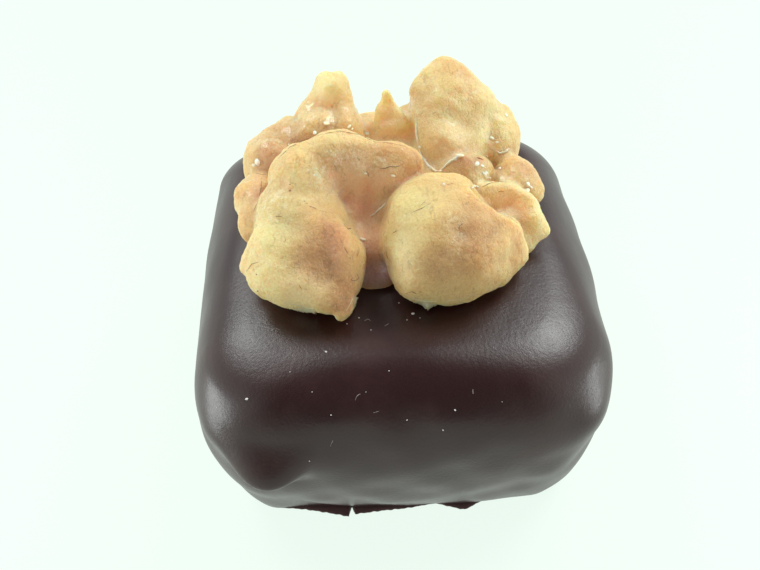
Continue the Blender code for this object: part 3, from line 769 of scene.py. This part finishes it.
skinLook = {                 # sizes and depths in mm
    "cream": (0.72, 0.59, 0.27), "gold": (0.68, 0.45, 0.19), "amber": (0.63, 0.375, 0.155),
    "stain": (0.45, 0.235, 0.105), "flush": (0.84, 0.43, 0.30), "shade": (0.50, 0.31, 0.29),
    # glow and light are painted light, lifting faces and hollows that get too little light
    "pale": (0.76, 0.65, 0.34), "brown": (0.22, 0.11, 0.05), "glow": (0.90, 0.66, 0.38),
    "light": (0.93, 0.76, 0.40), "frost": (0.92, 0.86, 0.62),
    "grain": ((0.16, 0.14, 0.12), (1.0, 1.0, 1.0)),
    "ior": 1.45, "specular": 0.45, "soft": 0.85, "softRadius": (1.0, 0.5, 0.25), "softDepth": 2.4,
    "roughness": 0.44, "wetRoughness": 0.2, "spotRoughness": 0.3, "hollowRoughness": -0.14,
    "cloudSize": 3.2, "spotSize": 0.9, "grainSize": 0.16,
    "veinSize": 0.8, "veinStretch": (1.0, 0.35, 0.6), "scurfSize": 0.35, "pitSize": 0.22,
    "grainDepth": 0.09, "spotDepth": 0.06, "veinDepth": 0.02, "pitDepth": 0.03, "frostDepth": 0.02,
    "bump": 0.8,
    # the most of a colour or a gloss, and the marks or noise between which it sets in
    "uneven": (0.75, 0.5), "amberSpan": (0.40, 0.62), "ridgeHighlight": 0.4, "ridgeSpan": (0.25, 0.8),
    "hollowShadeTan": 0.12, "hollowSpan": (0.3, 0.8), "creaseShadeTan": 0.45, "creaseSpan": (0.3, 0.9),
    "creaseBounceFlush": 0.2, "flushSpan": (0.4, 1.0), "frosted": 0.65, "scurfSpan": (0.46, 0.60),
    "paintedRimLight": 0.35, "veinWidth": 0.03, "veinBrown": 0.30, "veinSpan": (0.45, 0.65), "grained": 0.6,
    "smoothSpan": (0.3, 0.9), "creaseWet": (0.25, 0.7), "creaseSpots": (0.5, 0.62),
    "wetSpots": (0.42, 0.56), "frostWet": 0.5, "pitSpan": (0.28, 0.42),
}


def walnutMaterial():
    look = skinLook
    uniform = {"IOR": look["ior"], "Specular IOR Level": look["specular"],
               "Coat Roughness": look["wetRoughness"], "Subsurface Weight": look["soft"],
               "Subsurface Radius": look["softRadius"], "Subsurface Scale": look["softDepth"] * mm}
    made, sheet, shader = newMaterial("walnutSkin", uniform)
    place = objectPlace(sheet)
    crease, hollow, ridge = (attribute(sheet, name) for name in ("crease", "hollow", "ridge"))
    clouds = sheet.noise(place, look["cloudSize"], seed=1.0, detail=4.0)
    spots = sheet.noise(place, look["spotSize"], seed=2.0, detail=4.0, rough=0.6)
    grain = sheet.noise(place, look["grainSize"], seed=3.0, detail=3.0, rough=0.7)
    stretched = sheet.vector("MULTIPLY", place, look["veinStretch"])
    veins = sheet.noise(stretched, look["veinSize"], seed=4.0, detail=4.0)
    veins = sheet.span(sheet.number("ABSOLUTE", veins - 0.5), 0.0, look["veinWidth"], 1.0, 0.0)
    uneven = look["uneven"][0] + look["uneven"][1] * spots
    colour = sheet.mix(sheet.span(clouds, *look["amberSpan"]), look["gold"], look["amber"])
    colour = sheet.mix(attribute(sheet, "cream") * uneven, colour, look["cream"])
    # painted highlight: paler on ridges
    colour = sheet.mix(look["ridgeHighlight"] * sheet.span(ridge, *look["ridgeSpan"]), colour, look["pale"])
    # tan from the stain tints, and darker in hollows and creases: partly the skin's darker pellicle, partly
    # painted shade
    tan = attribute(sheet, "stain") * uneven + look["hollowShadeTan"] * sheet.span(hollow, *look["hollowSpan"])
    tan = tan + look["creaseShadeTan"] * sheet.span(crease, *look["creaseSpan"])
    colour = sheet.mix(tan, colour, look["stain"])
    # salmon in the groove and creases: partly the skin's colour, partly painted bounce light
    flush = attribute(sheet, "flush") * uneven
    flush = flush + look["creaseBounceFlush"] * sheet.span(crease, *look["flushSpan"])
    colour = sheet.mix(flush, colour, look["flush"])
    # painted light: the glow tints lift shaded hollows and the thorn and finger
    colour = sheet.mix(attribute(sheet, "glow"), colour, look["glow"])
    # painted light: the light tints brighten faces the lamps leave dark
    colour = sheet.mix(attribute(sheet, "light") * uneven, colour, look["light"])
    colour = sheet.mix(attribute(sheet, "shade"), colour, look["shade"])
    scurf = sheet.noise(place, look["scurfSize"], seed=6.0, detail=4.0, rough=0.75)
    frost = attribute(sheet, "frost") * sheet.span(scurf, *look["scurfSpan"])
    colour = sheet.mix(look["frosted"] * frost, colour, look["frost"])
    # painted rim light: paler where the view grazes the skin, towards the outline
    edge = sheet.add("ShaderNodeLayerWeight", None, {"Blend": 0.5}, out=1)
    colour = sheet.mix(look["paintedRimLight"] * edge ** 2.0, colour, look["pale"])
    veined = look["veinBrown"] * veins * sheet.span(spots, *look["veinSpan"])
    colour = sheet.mix(veined, colour, look["brown"])
    colour = sheet.mix(look["grained"], colour, sheet.mix(grain, *look["grain"]), "OVERLAY")
    sheet.feed(shader.inputs["Base Color"], colour)
    roughness = look["roughness"] + look["spotRoughness"] * (spots - 0.5)
    roughness = roughness + look["hollowRoughness"] * sheet.span(hollow, *look["smoothSpan"])
    sheet.feed(shader.inputs["Roughness"], roughness)
    wet = sheet.span(crease, *look["creaseWet"]) * sheet.span(spots, *look["creaseSpots"])
    wet = wet + look["frostWet"] * frost + attribute(sheet, "wet") * sheet.span(spots, *look["wetSpots"])
    sheet.feed(shader.inputs["Coat Weight"], wet)
    pits = sheet.span(sheet.noise(place, look["pitSize"], seed=7.0, detail=1.0), *look["pitSpan"])
    height = look["grainDepth"] * grain + look["spotDepth"] * spots - look["veinDepth"] * veins
    height = height + look["pitDepth"] * pits + look["frostDepth"] * frost
    bump = sheet.add("ShaderNodeBump", None, {"Strength": look["bump"], "Distance": mm, "Height": height})
    sheet.feed(shader.inputs["Normal"], bump)
    return made


kernelInputs = {
    "Cell": walnut["cell"], "Floor": walnut["floor"], "Floor rounding": walnut["floorRound"],
    "Seed": walnut["seed"], "Wrinkles": walnut["wrinkles"], "Low": walnut["low"], "High": walnut["high"],
    "Skin": walnutMaterial(),
}
kernel = grow("walnutHalf", walnutTree(kernelInputs), kernelInputs)
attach(kernel, "root")
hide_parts("walnut")
print("walnut grown:", len(kernel.data.polygons), "faces")


# Small things lying on the two, each placed under the pixels of the photograph that it passes

surfaces = {}
for piece, name in ((kernel, "walnut"), (coated, "chocolate")):
    surfaces[name] = BVHTree.FromObject(piece, bpy.context.evaluated_depsgraph_get())


# Points on a surface under a line of pixels, in mm, as strands that stop where the surface drops
# away: gap is in pixels, jump in mm
def traced(surface, pixels, lift, gap=1.2, jump=0.7):
    strands = [[]]
    for start, end in zip(pixels, pixels[1:]):
        steps = max(1, round(math.dist(start, end) / gap))
        for step in range(steps + (end is pixels[-1])):
            seen = seenAt(surface, Vector(start).lerp(Vector(end), step / steps))
            if not seen:
                continue
            point = seen[0] / mm + seen[1] * lift
            if strands[-1] and (point - strands[-1][-1]).length > jump:
                strands.append([])
            strands[-1].append(point)
    return [strand for strand in strands if len(strand) > 1]


def startMesh(name, points, edges, thick):
    mesh = bpy.data.meshes.new(name)
    mesh.from_pydata(points, edges, [])
    mesh.attributes.new("thick", "FLOAT", "POINT").data.foreach_set("value", thick)
    return mesh


fineLine = {"sides": 6, "waverSize": 0.35, "thickSize": 0.3, "taper": 0.8}
crumb = {"uneven": 0.5, "unevenSize": 0.12, "lean": 0.4, "narrow": 0.75}
smallLook = {
    "ior": 1.45, "softRadius": (1.0, 0.6, 0.4), "softDepth": 0.3, "bump": 0.6,
    "spotSize": 0.5, "spotSpan": (0.38, 0.62), "spotRoughness": 0.2,
    "grain": ((0.3, 0.3, 0.3), (1.0, 1.0, 1.0)), "grained": 0.3, "grainSize": 0.08, "grainDepth": 0.02,
}


def lineTree(look, material):        # wavering tubes along the start mesh's edges
    inputs = {"Lines": None, "Sides": fineLine["sides"], "Waver": look["waver"],
              "Waver size": fineLine["waverSize"], "Seed": look["seed"], "Material": material}
    sheet, given, result = newTree("fineLines", inputs, ("Geometry", "NodeSocketGeometry"))
    place = sheet.add("GeometryNodeInputPosition")
    curve = sheet.add("GeometryNodeMeshToCurve", None, {"Mesh": given["Lines"]})
    shift = sheet.noise(place, given["Waver size"], seed=given["Seed"], colour=True)
    shift = sheet.times(sheet.vector("SUBTRACT", shift, (0.5, 0.5, 0.5)), 2 * given["Waver"])
    curve = sheet.add("GeometryNodeSetPosition", None, {"Geometry": curve, "Offset": shift})
    thick = sheet.add("GeometryNodeInputNamedAttribute", {"data_type": "FLOAT"}, {"Name": "thick"})
    thick = thick * (0.5 + sheet.noise(place, fineLine["thickSize"], seed=given["Seed"] + 1.0))
    circle = {"Resolution": given["Sides"], "Radius": 1.0}
    ring = sheet.add("GeometryNodeCurvePrimitiveCircle", None, circle)
    tube = {"Curve": curve, "Profile Curve": ring, "Scale": thick, "Fill Caps": True}
    return endTree(sheet, sheet.add("GeometryNodeCurveToMesh", None, tube), given["Material"], result)


def crumbTree(look, material):       # uneven crumbs on the start mesh's points
    inputs = {"Points": None, "Flat": look["flat"], "Uneven": crumb["uneven"], "Seed": look["seed"],
              "Material": material}
    sheet, given, result = newTree("crumbs", inputs, ("Geometry", "NodeSocketGeometry"))
    ball = sheet.add("GeometryNodeMeshIcoSphere", None, {"Radius": 1.0, "Subdivisions": 2})
    thick = sheet.add("GeometryNodeInputNamedAttribute", {"data_type": "FLOAT"}, {"Name": "thick"})
    sizes = {0: thick, 1: thick * crumb["narrow"], 2: thick * given["Flat"]}
    size = sheet.add("ShaderNodeCombineXYZ", None, sizes)
    lean = crumb["lean"]
    turns = {0: (-lean, -lean, 0.0), 1: (lean, lean, 2 * math.pi), 8: look["turnSeed"]}
    turn = sheet.add("FunctionNodeRandomValue", {"data_type": "FLOAT_VECTOR"}, turns)
    instances = {"Points": given["Points"], "Instance": ball, "Scale": size, "Rotation": turn}
    crumbs = sheet.add("GeometryNodeInstanceOnPoints", None, instances)
    crumbs = sheet.add("GeometryNodeRealizeInstances", None, {"Geometry": crumbs})
    place = sheet.add("GeometryNodeInputPosition")
    bump = sheet.noise(place, crumb["unevenSize"], seed=given["Seed"]) - 0.5
    shift = sheet.times(sheet.add("GeometryNodeInputNormal"), bump * given["Uneven"] * look["size"])
    crumbs = sheet.add("GeometryNodeSetPosition", None, {"Geometry": crumbs, "Offset": shift})
    return endTree(sheet, crumbs, given["Material"], result)


def smallMaterial(name, look):
    uniform = {"IOR": smallLook["ior"], "Subsurface Weight": look["soft"],
               "Subsurface Radius": smallLook["softRadius"],
               "Subsurface Scale": smallLook["softDepth"] * mm}
    made, sheet, shader = newMaterial(name, uniform)
    place = objectPlace(sheet)
    spots = sheet.noise(place, smallLook["spotSize"], seed=1.0, detail=3.0)
    grain = sheet.noise(place, smallLook["grainSize"], seed=2.0, detail=2.0)
    colour = sheet.mix(sheet.span(spots, *smallLook["spotSpan"]), *look["colours"])
    colour = sheet.mix(smallLook["grained"], colour, sheet.mix(grain, *smallLook["grain"]), "OVERLAY")
    sheet.feed(shader.inputs["Base Color"], colour)
    roughness = look["roughness"] + smallLook["spotRoughness"] * (spots - 0.5)
    sheet.feed(shader.inputs["Roughness"], roughness)
    relief = {"Strength": smallLook["bump"], "Distance": mm, "Height": smallLook["grainDepth"] * grain}
    bump = sheet.add("ShaderNodeBump", None, relief)
    sheet.feed(shader.inputs["Normal"], bump)
    return made


def keep(piece):
    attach(piece, "root")


def makeLines(name, look):
    points, edges, thick = [], [], []
    for radius, pixels in look["lines"].values():
        for strand in traced(surfaces[look["on"]], pixels, look["lift"]):
            first, count = len(points), len(strand)
            points += strand
            edges += [(first + i, first + i + 1) for i in range(count - 1)]
            taper = [abs(2 * i / (count - 1) - 1) ** 3 for i in range(count)]
            thick += [radius * (1 - fineLine["taper"] * share) for share in taper]
    made = smallMaterial(name, look)
    grown = grow(name, lineTree(look, made), {"Material": made}, startMesh(name, points, edges, thick))
    keep(grown)


def makeCrumbs(name, look):
    points, thick = [], []
    for pixel, size in look["spots"].items():
        seen = seenAt(surfaces[look["on"]], pixel)
        if seen:
            points.append(seen[0] / mm + seen[1] * size * look["lift"])
            thick.append(size)
    made = smallMaterial(name, look)
    grown = grow(name, crumbTree(look, made), {"Material": made}, startMesh(name, points, [], thick))
    keep(grown)


hairs = {                    # thin dark hairs and cracks of the walnut's skin: radius in mm, pixels
    "on": "walnut", "slot": "walnut", "lift": 0.0, "waver": 0.05, "seed": 1.0,
    "colours": ((0.10, 0.055, 0.035), (0.20, 0.12, 0.07)), "roughness": 0.5, "soft": 0.0,
    "lines": {
        "funnelFloor": (0.024, ((343, 222), (345, 226), (348, 229), (352, 228))),
        "bridgeCrack": (0.022, ((377, 168), (384, 169), (390, 166.5), (396, 167), (402, 165))),
        "bridgeShort": (0.018, ((366, 171), (369, 174), (368.5, 177))),
        "bridgeLeft": (0.018, ((357, 157), (360, 160))),
        "lobeLeft": (0.016, ((284, 237), (285.5, 240), (284.5, 243))),
        "curl": (0.018, ((350, 274), (353, 277), (351, 280), (355, 281), (359, 278), (357, 274),
                         (353.5, 274.5))),
        "curlAbove": (0.016, ((357, 247), (358, 253), (357, 257))),
        "grooveRight": (0.018, ((386, 250), (387, 256), (389, 260), (392, 263))),
        "tipLeft": (0.016, ((299, 285), (302, 290))),
        "slopeLeft": (0.016, ((275, 216.5), (278, 216), (283, 217))),
        "spurLeft": (0.022, ((246, 272), (252, 264), (259, 262))),
        "rightDash": (0.022, ((392, 234), (394.5, 232), (397, 230.5))),
        "slope": (0.018, ((344, 247), (346.5, 251), (348, 254))),
        "crest": (0.020, ((256, 173.5), (262, 174.3), (270, 175))),
        "rightLong": (0.020, ((413, 212), (419, 209.5), (426, 206), (431, 203))),
        "rightLongUpper": (0.015, ((420, 206), (424, 202.5), (427, 199))),
        "rightLow": (0.015, ((408, 249.5), (409, 252), (411, 253))),
        "rightFoot": (0.020, ((406, 293.5), (412, 291.5), (417, 294))),
        "plateau": (0.015, ((446, 185), (453, 183.5))),
        "leafInner": (0.015, ((498, 192.4), (501, 191), (504.5, 191.6))),
        "centre": (0.016, ((459, 231), (459.5, 226), (464, 223))),
    },
}
rims = {                     # thin brown rims where the skin has split
    "on": "walnut", "slot": "walnut", "lift": -0.01, "waver": 0.05, "seed": 2.0,
    "colours": ((0.30, 0.19, 0.09), (0.40, 0.20, 0.10)), "roughness": 0.5, "soft": 0.3,
    "lines": {
        "bridge": (0.032, ((276, 161), (290, 147), (305, 140), (320, 134.5), (340, 131), (360, 135),
                           (375, 142), (390, 143), (405, 146), (414, 152))),
        "leafEdge": (0.030, ((480, 188), (485, 185.6), (490, 183.2), (500, 181.6), (510, 182.2))),
        "redStroke": (0.040, ((309, 206), (313, 207.3), (317, 209))),
        "redEnd": (0.022, ((319, 210.5), (324, 211.5))),
        "leftLobe": (0.030, ((262, 176), (261, 188), (258, 202), (253, 212))),
        "rearDark": (0.060, ((476, 157), (480, 158.5), (484, 160))),
    },
}
membranesAndGlints = {                # pale glossy edges of torn skin; the tubes in the groove, on the middle lobe, the outer arc and the leaf are painted glints
    "on": "walnut", "slot": "walnut", "lift": 0.02, "waver": 0.12, "seed": 3.0,
    "colours": ((0.84, 0.70, 0.46), (0.92, 0.86, 0.70)), "roughness": 0.25, "soft": 0.4,
    "lines": {
        "strand": (0.10, ((416, 117), (417, 130), (418, 141), (418.5, 149))),
        "vLeft": (0.09, ((418.5, 149), (423, 158), (428, 166), (436, 171.5), (441, 171))),
        "vRight": (0.10, ((441, 171), (450, 162), (458, 157), (463, 155))),
        "grooveRim": (0.055, ((369, 217), (375, 213), (381, 208), (386, 203.5))),
        "grooveGlint": (0.12, ((359, 238), (362, 240), (366, 240))),
        "middleEdge": (0.07, ((471, 188), (476, 186.4), (479, 187.6))),
        "outerArc": (0.08, ((495, 151), (500, 153), (506, 152), (509, 147))),
        "glintMiddle": (0.14, ((482, 172), (485, 176), (487, 180))),
        "leafLight": (0.045, ((500, 212), (505, 215), (509, 217))),
    },
}
glintBeads = {                    # painted glints and pale specks: pale beads where the skin shines; pixel, size in mm
    "on": "walnut", "slot": "walnut", "lift": 0.0, "flat": 0.4, "size": 0.12, "seed": 4.0, "turnSeed": 4,
    "colours": ((0.88, 0.76, 0.50), (0.94, 0.88, 0.72)), "roughness": 0.2, "soft": 0.5,
    "spots": {
        (326.7, 123.3): 0.3, (349, 126.7): 0.2, (352, 129): 0.14, (366.7, 133.3): 0.23, (258, 161.7): 0.32,
        (254, 165): 0.19, (460, 155.5): 0.32, (455, 159): 0.19, (441, 170.5): 0.22, (436, 171): 0.15,
        (486, 173): 0.22, (476.7, 164): 0.23, (482, 166): 0.15, (489, 178): 0.16, (491.7, 138): 0.23,
        (497, 142): 0.16, (506, 115): 0.19, (528, 184): 0.23, (527, 190): 0.27, (531, 187): 0.16,
        (393, 175.5): 0.18, (365, 173.5): 0.14, (315, 132.5): 0.19, (474, 186): 0.16, (444, 184): 0.11,
        (500, 168): 0.14, (487, 156): 0.11, (425, 160): 0.15, (430, 168): 0.14, (420, 147): 0.16,
        (331, 151): 0.08, (335, 155): 0.09, (338, 159): 0.07, (341, 153): 0.06, (314, 175): 0.09,
        (318, 178): 0.06, (371, 176): 0.07, (376, 145): 0.06, (402, 149): 0.07, (398, 155): 0.05,
        (371, 168): 0.05, (347, 162): 0.05, (308, 170): 0.06, (385, 160): 0.05, (422, 158): 0.06,
    },
}
specks = {                   # brown specks on the walnut
    "on": "walnut", "slot": "walnut", "lift": 0.0, "flat": 0.35, "size": 0.05, "seed": 5.0, "turnSeed": 5,
    "colours": ((0.14, 0.06, 0.035), (0.26, 0.12, 0.06)), "roughness": 0.5, "soft": 0.0,
    "spots": {
        (304.4, 201): 0.05, (290, 190.6): 0.08, (290, 184.4): 0.06, (258, 291): 0.08, (256.5, 274.6): 0.045,
        (521, 225.6): 0.05, (498, 271): 0.05, (435, 220): 0.035, (350, 258): 0.05, (479, 158): 0.10,
        (307, 203.5): 0.04, (345, 160): 0.035, (301, 246): 0.03, (408, 262): 0.035, (477, 243): 0.03,
    },
}
crumbs = {                   # pale crumbs on the chocolate
    "on": "chocolate", "slot": "walnut", "lift": 0.3, "flat": 0.6, "size": 0.06, "seed": 6.0, "turnSeed": 6,
    "colours": ((0.62, 0.58, 0.56), (0.84, 0.84, 0.86)), "roughness": 0.4, "soft": 0.0,
    "spots": {
        (247, 399): 0.11, (326, 352): 0.08, (309.5, 461): 0.05, (389, 371): 0.045, (331, 415): 0.05,
        (312, 392): 0.035, (407, 420): 0.05, (455, 410): 0.065, (443, 430): 0.05, (413, 314): 0.12,
        (407, 320): 0.045, (399, 303): 0.045, (359, 318): 0.06, (371, 330): 0.04, (347, 324): 0.045,
        (420, 318): 0.035, (217, 407): 0.035, (366, 392): 0.03, (290, 372): 0.03, (502, 402): 0.03,
    },
}
scratches = {                # hair scratches and a fibre on the chocolate
    "on": "chocolate", "slot": "chocolate", "lift": -0.004, "waver": 0.03, "seed": 7.0,
    "colours": ((0.30, 0.25, 0.23), (0.42, 0.36, 0.34)), "roughness": 0.35, "soft": 0.0,
    "lines": {
        "fibre": (0.014, ((355, 401), (357, 396), (360, 394), (361, 398))),
        "dash": (0.024, ((473, 389), (473, 395))),
        "front": (0.014, ((372, 413), (380, 411))),
        "streak": (0.014, ((322, 349), (330, 354))),
        "arcTop": (0.018, ((364, 321), (368, 319), (371, 321))),
        "dashTop": (0.016, ((384, 326), (390, 323))),
        "vLeft": (0.013, ((248, 333), (255, 345))),
        "vRight": (0.013, ((262, 333), (255, 345))),
        "arcLeft": (0.013, ((270, 331), (275, 328), (280, 330))),
        "right": (0.011, ((518, 316), (527, 327))),
        "rightLow": (0.011, ((560, 352), (568, 349))),
        "lowFront": (0.012, ((330, 447), (333, 440))),
    },
}
lines = {"skinHairs": hairs, "skinRims": rims, "tornSkinAndGlints": membranesAndGlints, "scratches": scratches}
for name, look in lines.items():
    makeLines(name, look)
for name, look in (("paleGlintBeads", glintBeads), ("skinSpecks", specks), ("paleCrumbs", crumbs)):
    makeCrumbs(name, look)
print("small things placed")


frayedSkin = {               # thin closed sheets of skin under the front lobes
    "colours": ((0.60, 0.47, 0.26), (0.68, 0.57, 0.36)), "roughness": 0.5, "soft": 0.5,
    "thick": 0.05, "rows": 6, "steps": 24, "ragged": 0.3, "lift": 0.06, "seed": 8,
    "flaps": {               # upper edge on the walnut and lower edge over the chocolate, in pixels
        "frayedLeftFoot": (((284, 302), (292, 304), (302, 306), (314, 309)),
                           ((288, 310), (298, 312), (307, 314), (317, 315))),
        "frayedTipRight": (((346, 311), (350, 304), (353, 297)),
                           ((352, 315), (356, 307), (359, 298))),
        "frayedRightFoot": (((412, 298), (420, 300), (428, 301), (437, 301)),
                            ((414, 304), (422, 306), (427.5, 312), (437, 306))),
        "frayedRightFar": (((446, 301), (455, 300), (464, 298), (474, 294)),
                           ((448, 307), (457, 306), (466, 303), (476, 299))),
    },
}


def flapEdge(surface, pixels, lift):         # points in mm, evenly spread under a line of pixels
    along = np.linspace(0, 1, len(pixels))
    share = np.linspace(0, 1, frayedSkin["steps"])
    spots = zip(*(np.interp(share, along, line) for line in zip(*pixels)))
    seen = [seenAt(surface, spot) for spot in spots]
    return np.array([tuple(hit[0] / mm + hit[1] * lift) for hit in seen if hit])


def flapFaces(rows, steps):          # both sides of the sheet, and the strip that closes its border
    count = rows * steps
    faces = []
    for row in range(rows - 1):
        for i in range(row * steps, row * steps + steps - 1):
            faces.append((i, i + 1, i + steps + 1, i + steps))
            faces.append((count + i, count + i + steps, count + i + steps + 1, count + i + 1))
    border = list(range(steps))
    border += [row * steps + steps - 1 for row in range(1, rows)]
    border += list(range(count - 2, count - steps - 1, -1))
    border += [row * steps for row in range(rows - 2, 0, -1)]
    for here, after in zip(border, border[1:] + border[:1]):
        faces.append((after, here, here + count, after + count))
    return faces


def makeFlap(name, upper, lower, material):
    top = flapEdge(surfaces["walnut"], upper, 0.0)
    bottom = flapEdge(surfaces["chocolate"], lower, frayedSkin["lift"])
    if min(len(top), len(bottom)) < frayedSkin["steps"]:
        return               # an edge that misses its surface
    draw = np.random.default_rng(frayedSkin["seed"])
    reach = 1 - frayedSkin["ragged"] * draw.random(frayedSkin["steps"])
    rows = np.linspace(0, 1, frayedSkin["rows"])[:, None, None]
    skin = top + (bottom - top) * rows * reach[:, None]
    across = np.cross(np.gradient(skin, axis=1), np.gradient(skin, axis=0))
    across *= frayedSkin["thick"] / 2 / np.linalg.norm(across, axis=2, keepdims=True)
    points = np.concatenate((skin + across, skin - across)).reshape(-1, 3) * mm
    faces = flapFaces(frayedSkin["rows"], frayedSkin["steps"])
    keep(meshFrom(name, points.tolist(), faces, material))


flapMaterial = smallMaterial("frayedSkin", frayedSkin)
for name, (upper, lower) in frayedSkin["flaps"].items():
    makeFlap(name, upper, lower, flapMaterial)
print("frayed skin made")


# Pale table and soft studio light: two soft boxes with wider veils above and behind, two small
# oval lamps low at the sides, pale surroundings round the horizon that darken towards the front

studio = {
    "floorHalf": 3000.0, "floorColour": (0.030, 0.032, 0.031), "floorRoughness": 0.6,
    "speckle": 0.04, "speckleSize": 2.0,
    "floorGlow": (0.85, 0.965, 0.885), "glow": 0.97,
    "aim": 14.0,             # mm above the table, where the lights point
    "boxColour": (0.94, 1.0, 0.99),
    # azimuth from the front, elevation, distance in mm, half angle, brightness, widening
    "boxes": {
        "right": (117, 51.5, 250, 11, 12.4, 1.0),
        "rightVeil": (126, 52, 250, 19, 2.1, 1.0),
        "left": (-131, 49, 250, 10, 9.6, 1.0),
        "leftVeil": (-137, 52, 250, 18, 1.5, 1.0),
        "lowRight": (72, -14, 70, 9.5, 8.4, 1.7),
        "lowLeft": (-75, -5, 70, 9, 7.2, 1.7),
    },
    "air": (0.92, 1.0, 0.98), "overhead": 0.15,
    "side": (0.3, 0.8), "sideSpan": (0.3, 0.9), "sideRise": (0.0, 0.35),
    "horizon": (0.5, 1.0), "horizonRise": (0.14, 0.50),      # towards the front, elsewhere
    "frontSpan": (-0.85, -0.25), "horizonFoot": -0.02,
}


def makeFloor():
    made, sheet, shader = newMaterial("paleTable", {"Roughness": studio["floorRoughness"]})
    speckle = sheet.noise(objectPlace(sheet), studio["speckleSize"], seed=1.0, detail=2.0)
    dark, light = (Vector(studio["floorColour"]) * (1 + sign * studio["speckle"]) for sign in (-1, 1))
    sheet.feed(shader.inputs["Base Color"], sheet.mix(speckle, dark, light))
    shader.inputs["Emission Color"].default_value = (*studio["floorGlow"], 1)
    shader.inputs["Emission Strength"].default_value = studio["glow"]
    half = studio["floorHalf"] * mm
    corners = [(-half, -half, 0), (half, -half, 0), (half, half, 0), (-half, half, 0)]
    meshFrom("table", corners, [(0, 1, 2, 3)], made)


def makeAir():
    world = bpy.data.worlds.new("studioAir")
    world.use_nodes = True
    sheet = Sheet(world.node_tree, mm)
    direction = sheet.add("ShaderNodeTexCoord", out=0)
    sideways, across, upwards = (
        sheet.add("ShaderNodeSeparateXYZ", None, {0: direction}, out=axis) for axis in range(3))
    strength = sheet.span(across, *studio["frontSpan"], *studio["horizon"])
    rise = sheet.span(across, *studio["frontSpan"], *studio["horizonRise"])
    fade = sheet.span(upwards, studio["horizonFoot"], rise, 1.0, 0.0)
    background = world.node_tree.nodes["Background"]
    background.inputs["Color"].default_value = (*studio["air"], 1)
    low, added = studio["side"]
    side = low + added * sheet.span(upwards, *studio["sideRise"])
    side = side * sheet.span(sheet.number("ABSOLUTE", sideways), *studio["sideSpan"])
    sheet.feed(background.inputs["Strength"], studio["overhead"] + side + strength * fade)
    scene.world = world


def makeLights():
    for name, (azimuth, elevation, away, halfAngle, brightness, wide) in studio["boxes"].items():
        direction = directionTo(azimuth, elevation)
        radius = away * mm * math.tan(math.radians(halfAngle))
        data = bpy.data.lights.new(name, "AREA")
        data.shape = "ELLIPSE"
        data.size = 2 * radius * wide
        data.size_y = 2 * radius
        data.energy = brightness * math.pi * math.pi * radius ** 2 * wide
        data.color = studio["boxColour"]
        box = bpy.data.objects.new(name, data)
        box.location = direction * away * mm + Vector((0, 0, studio["aim"] * mm))
        box.rotation_mode = "QUATERNION"
        box.rotation_quaternion = direction.to_track_quat("Z", "Y")
        box.visible_camera = False
        scene.collection.objects.link(box)
    scene.view_settings.view_transform = "Standard"


makeFloor()
makeAir()
makeLights()
print("table and lights set")
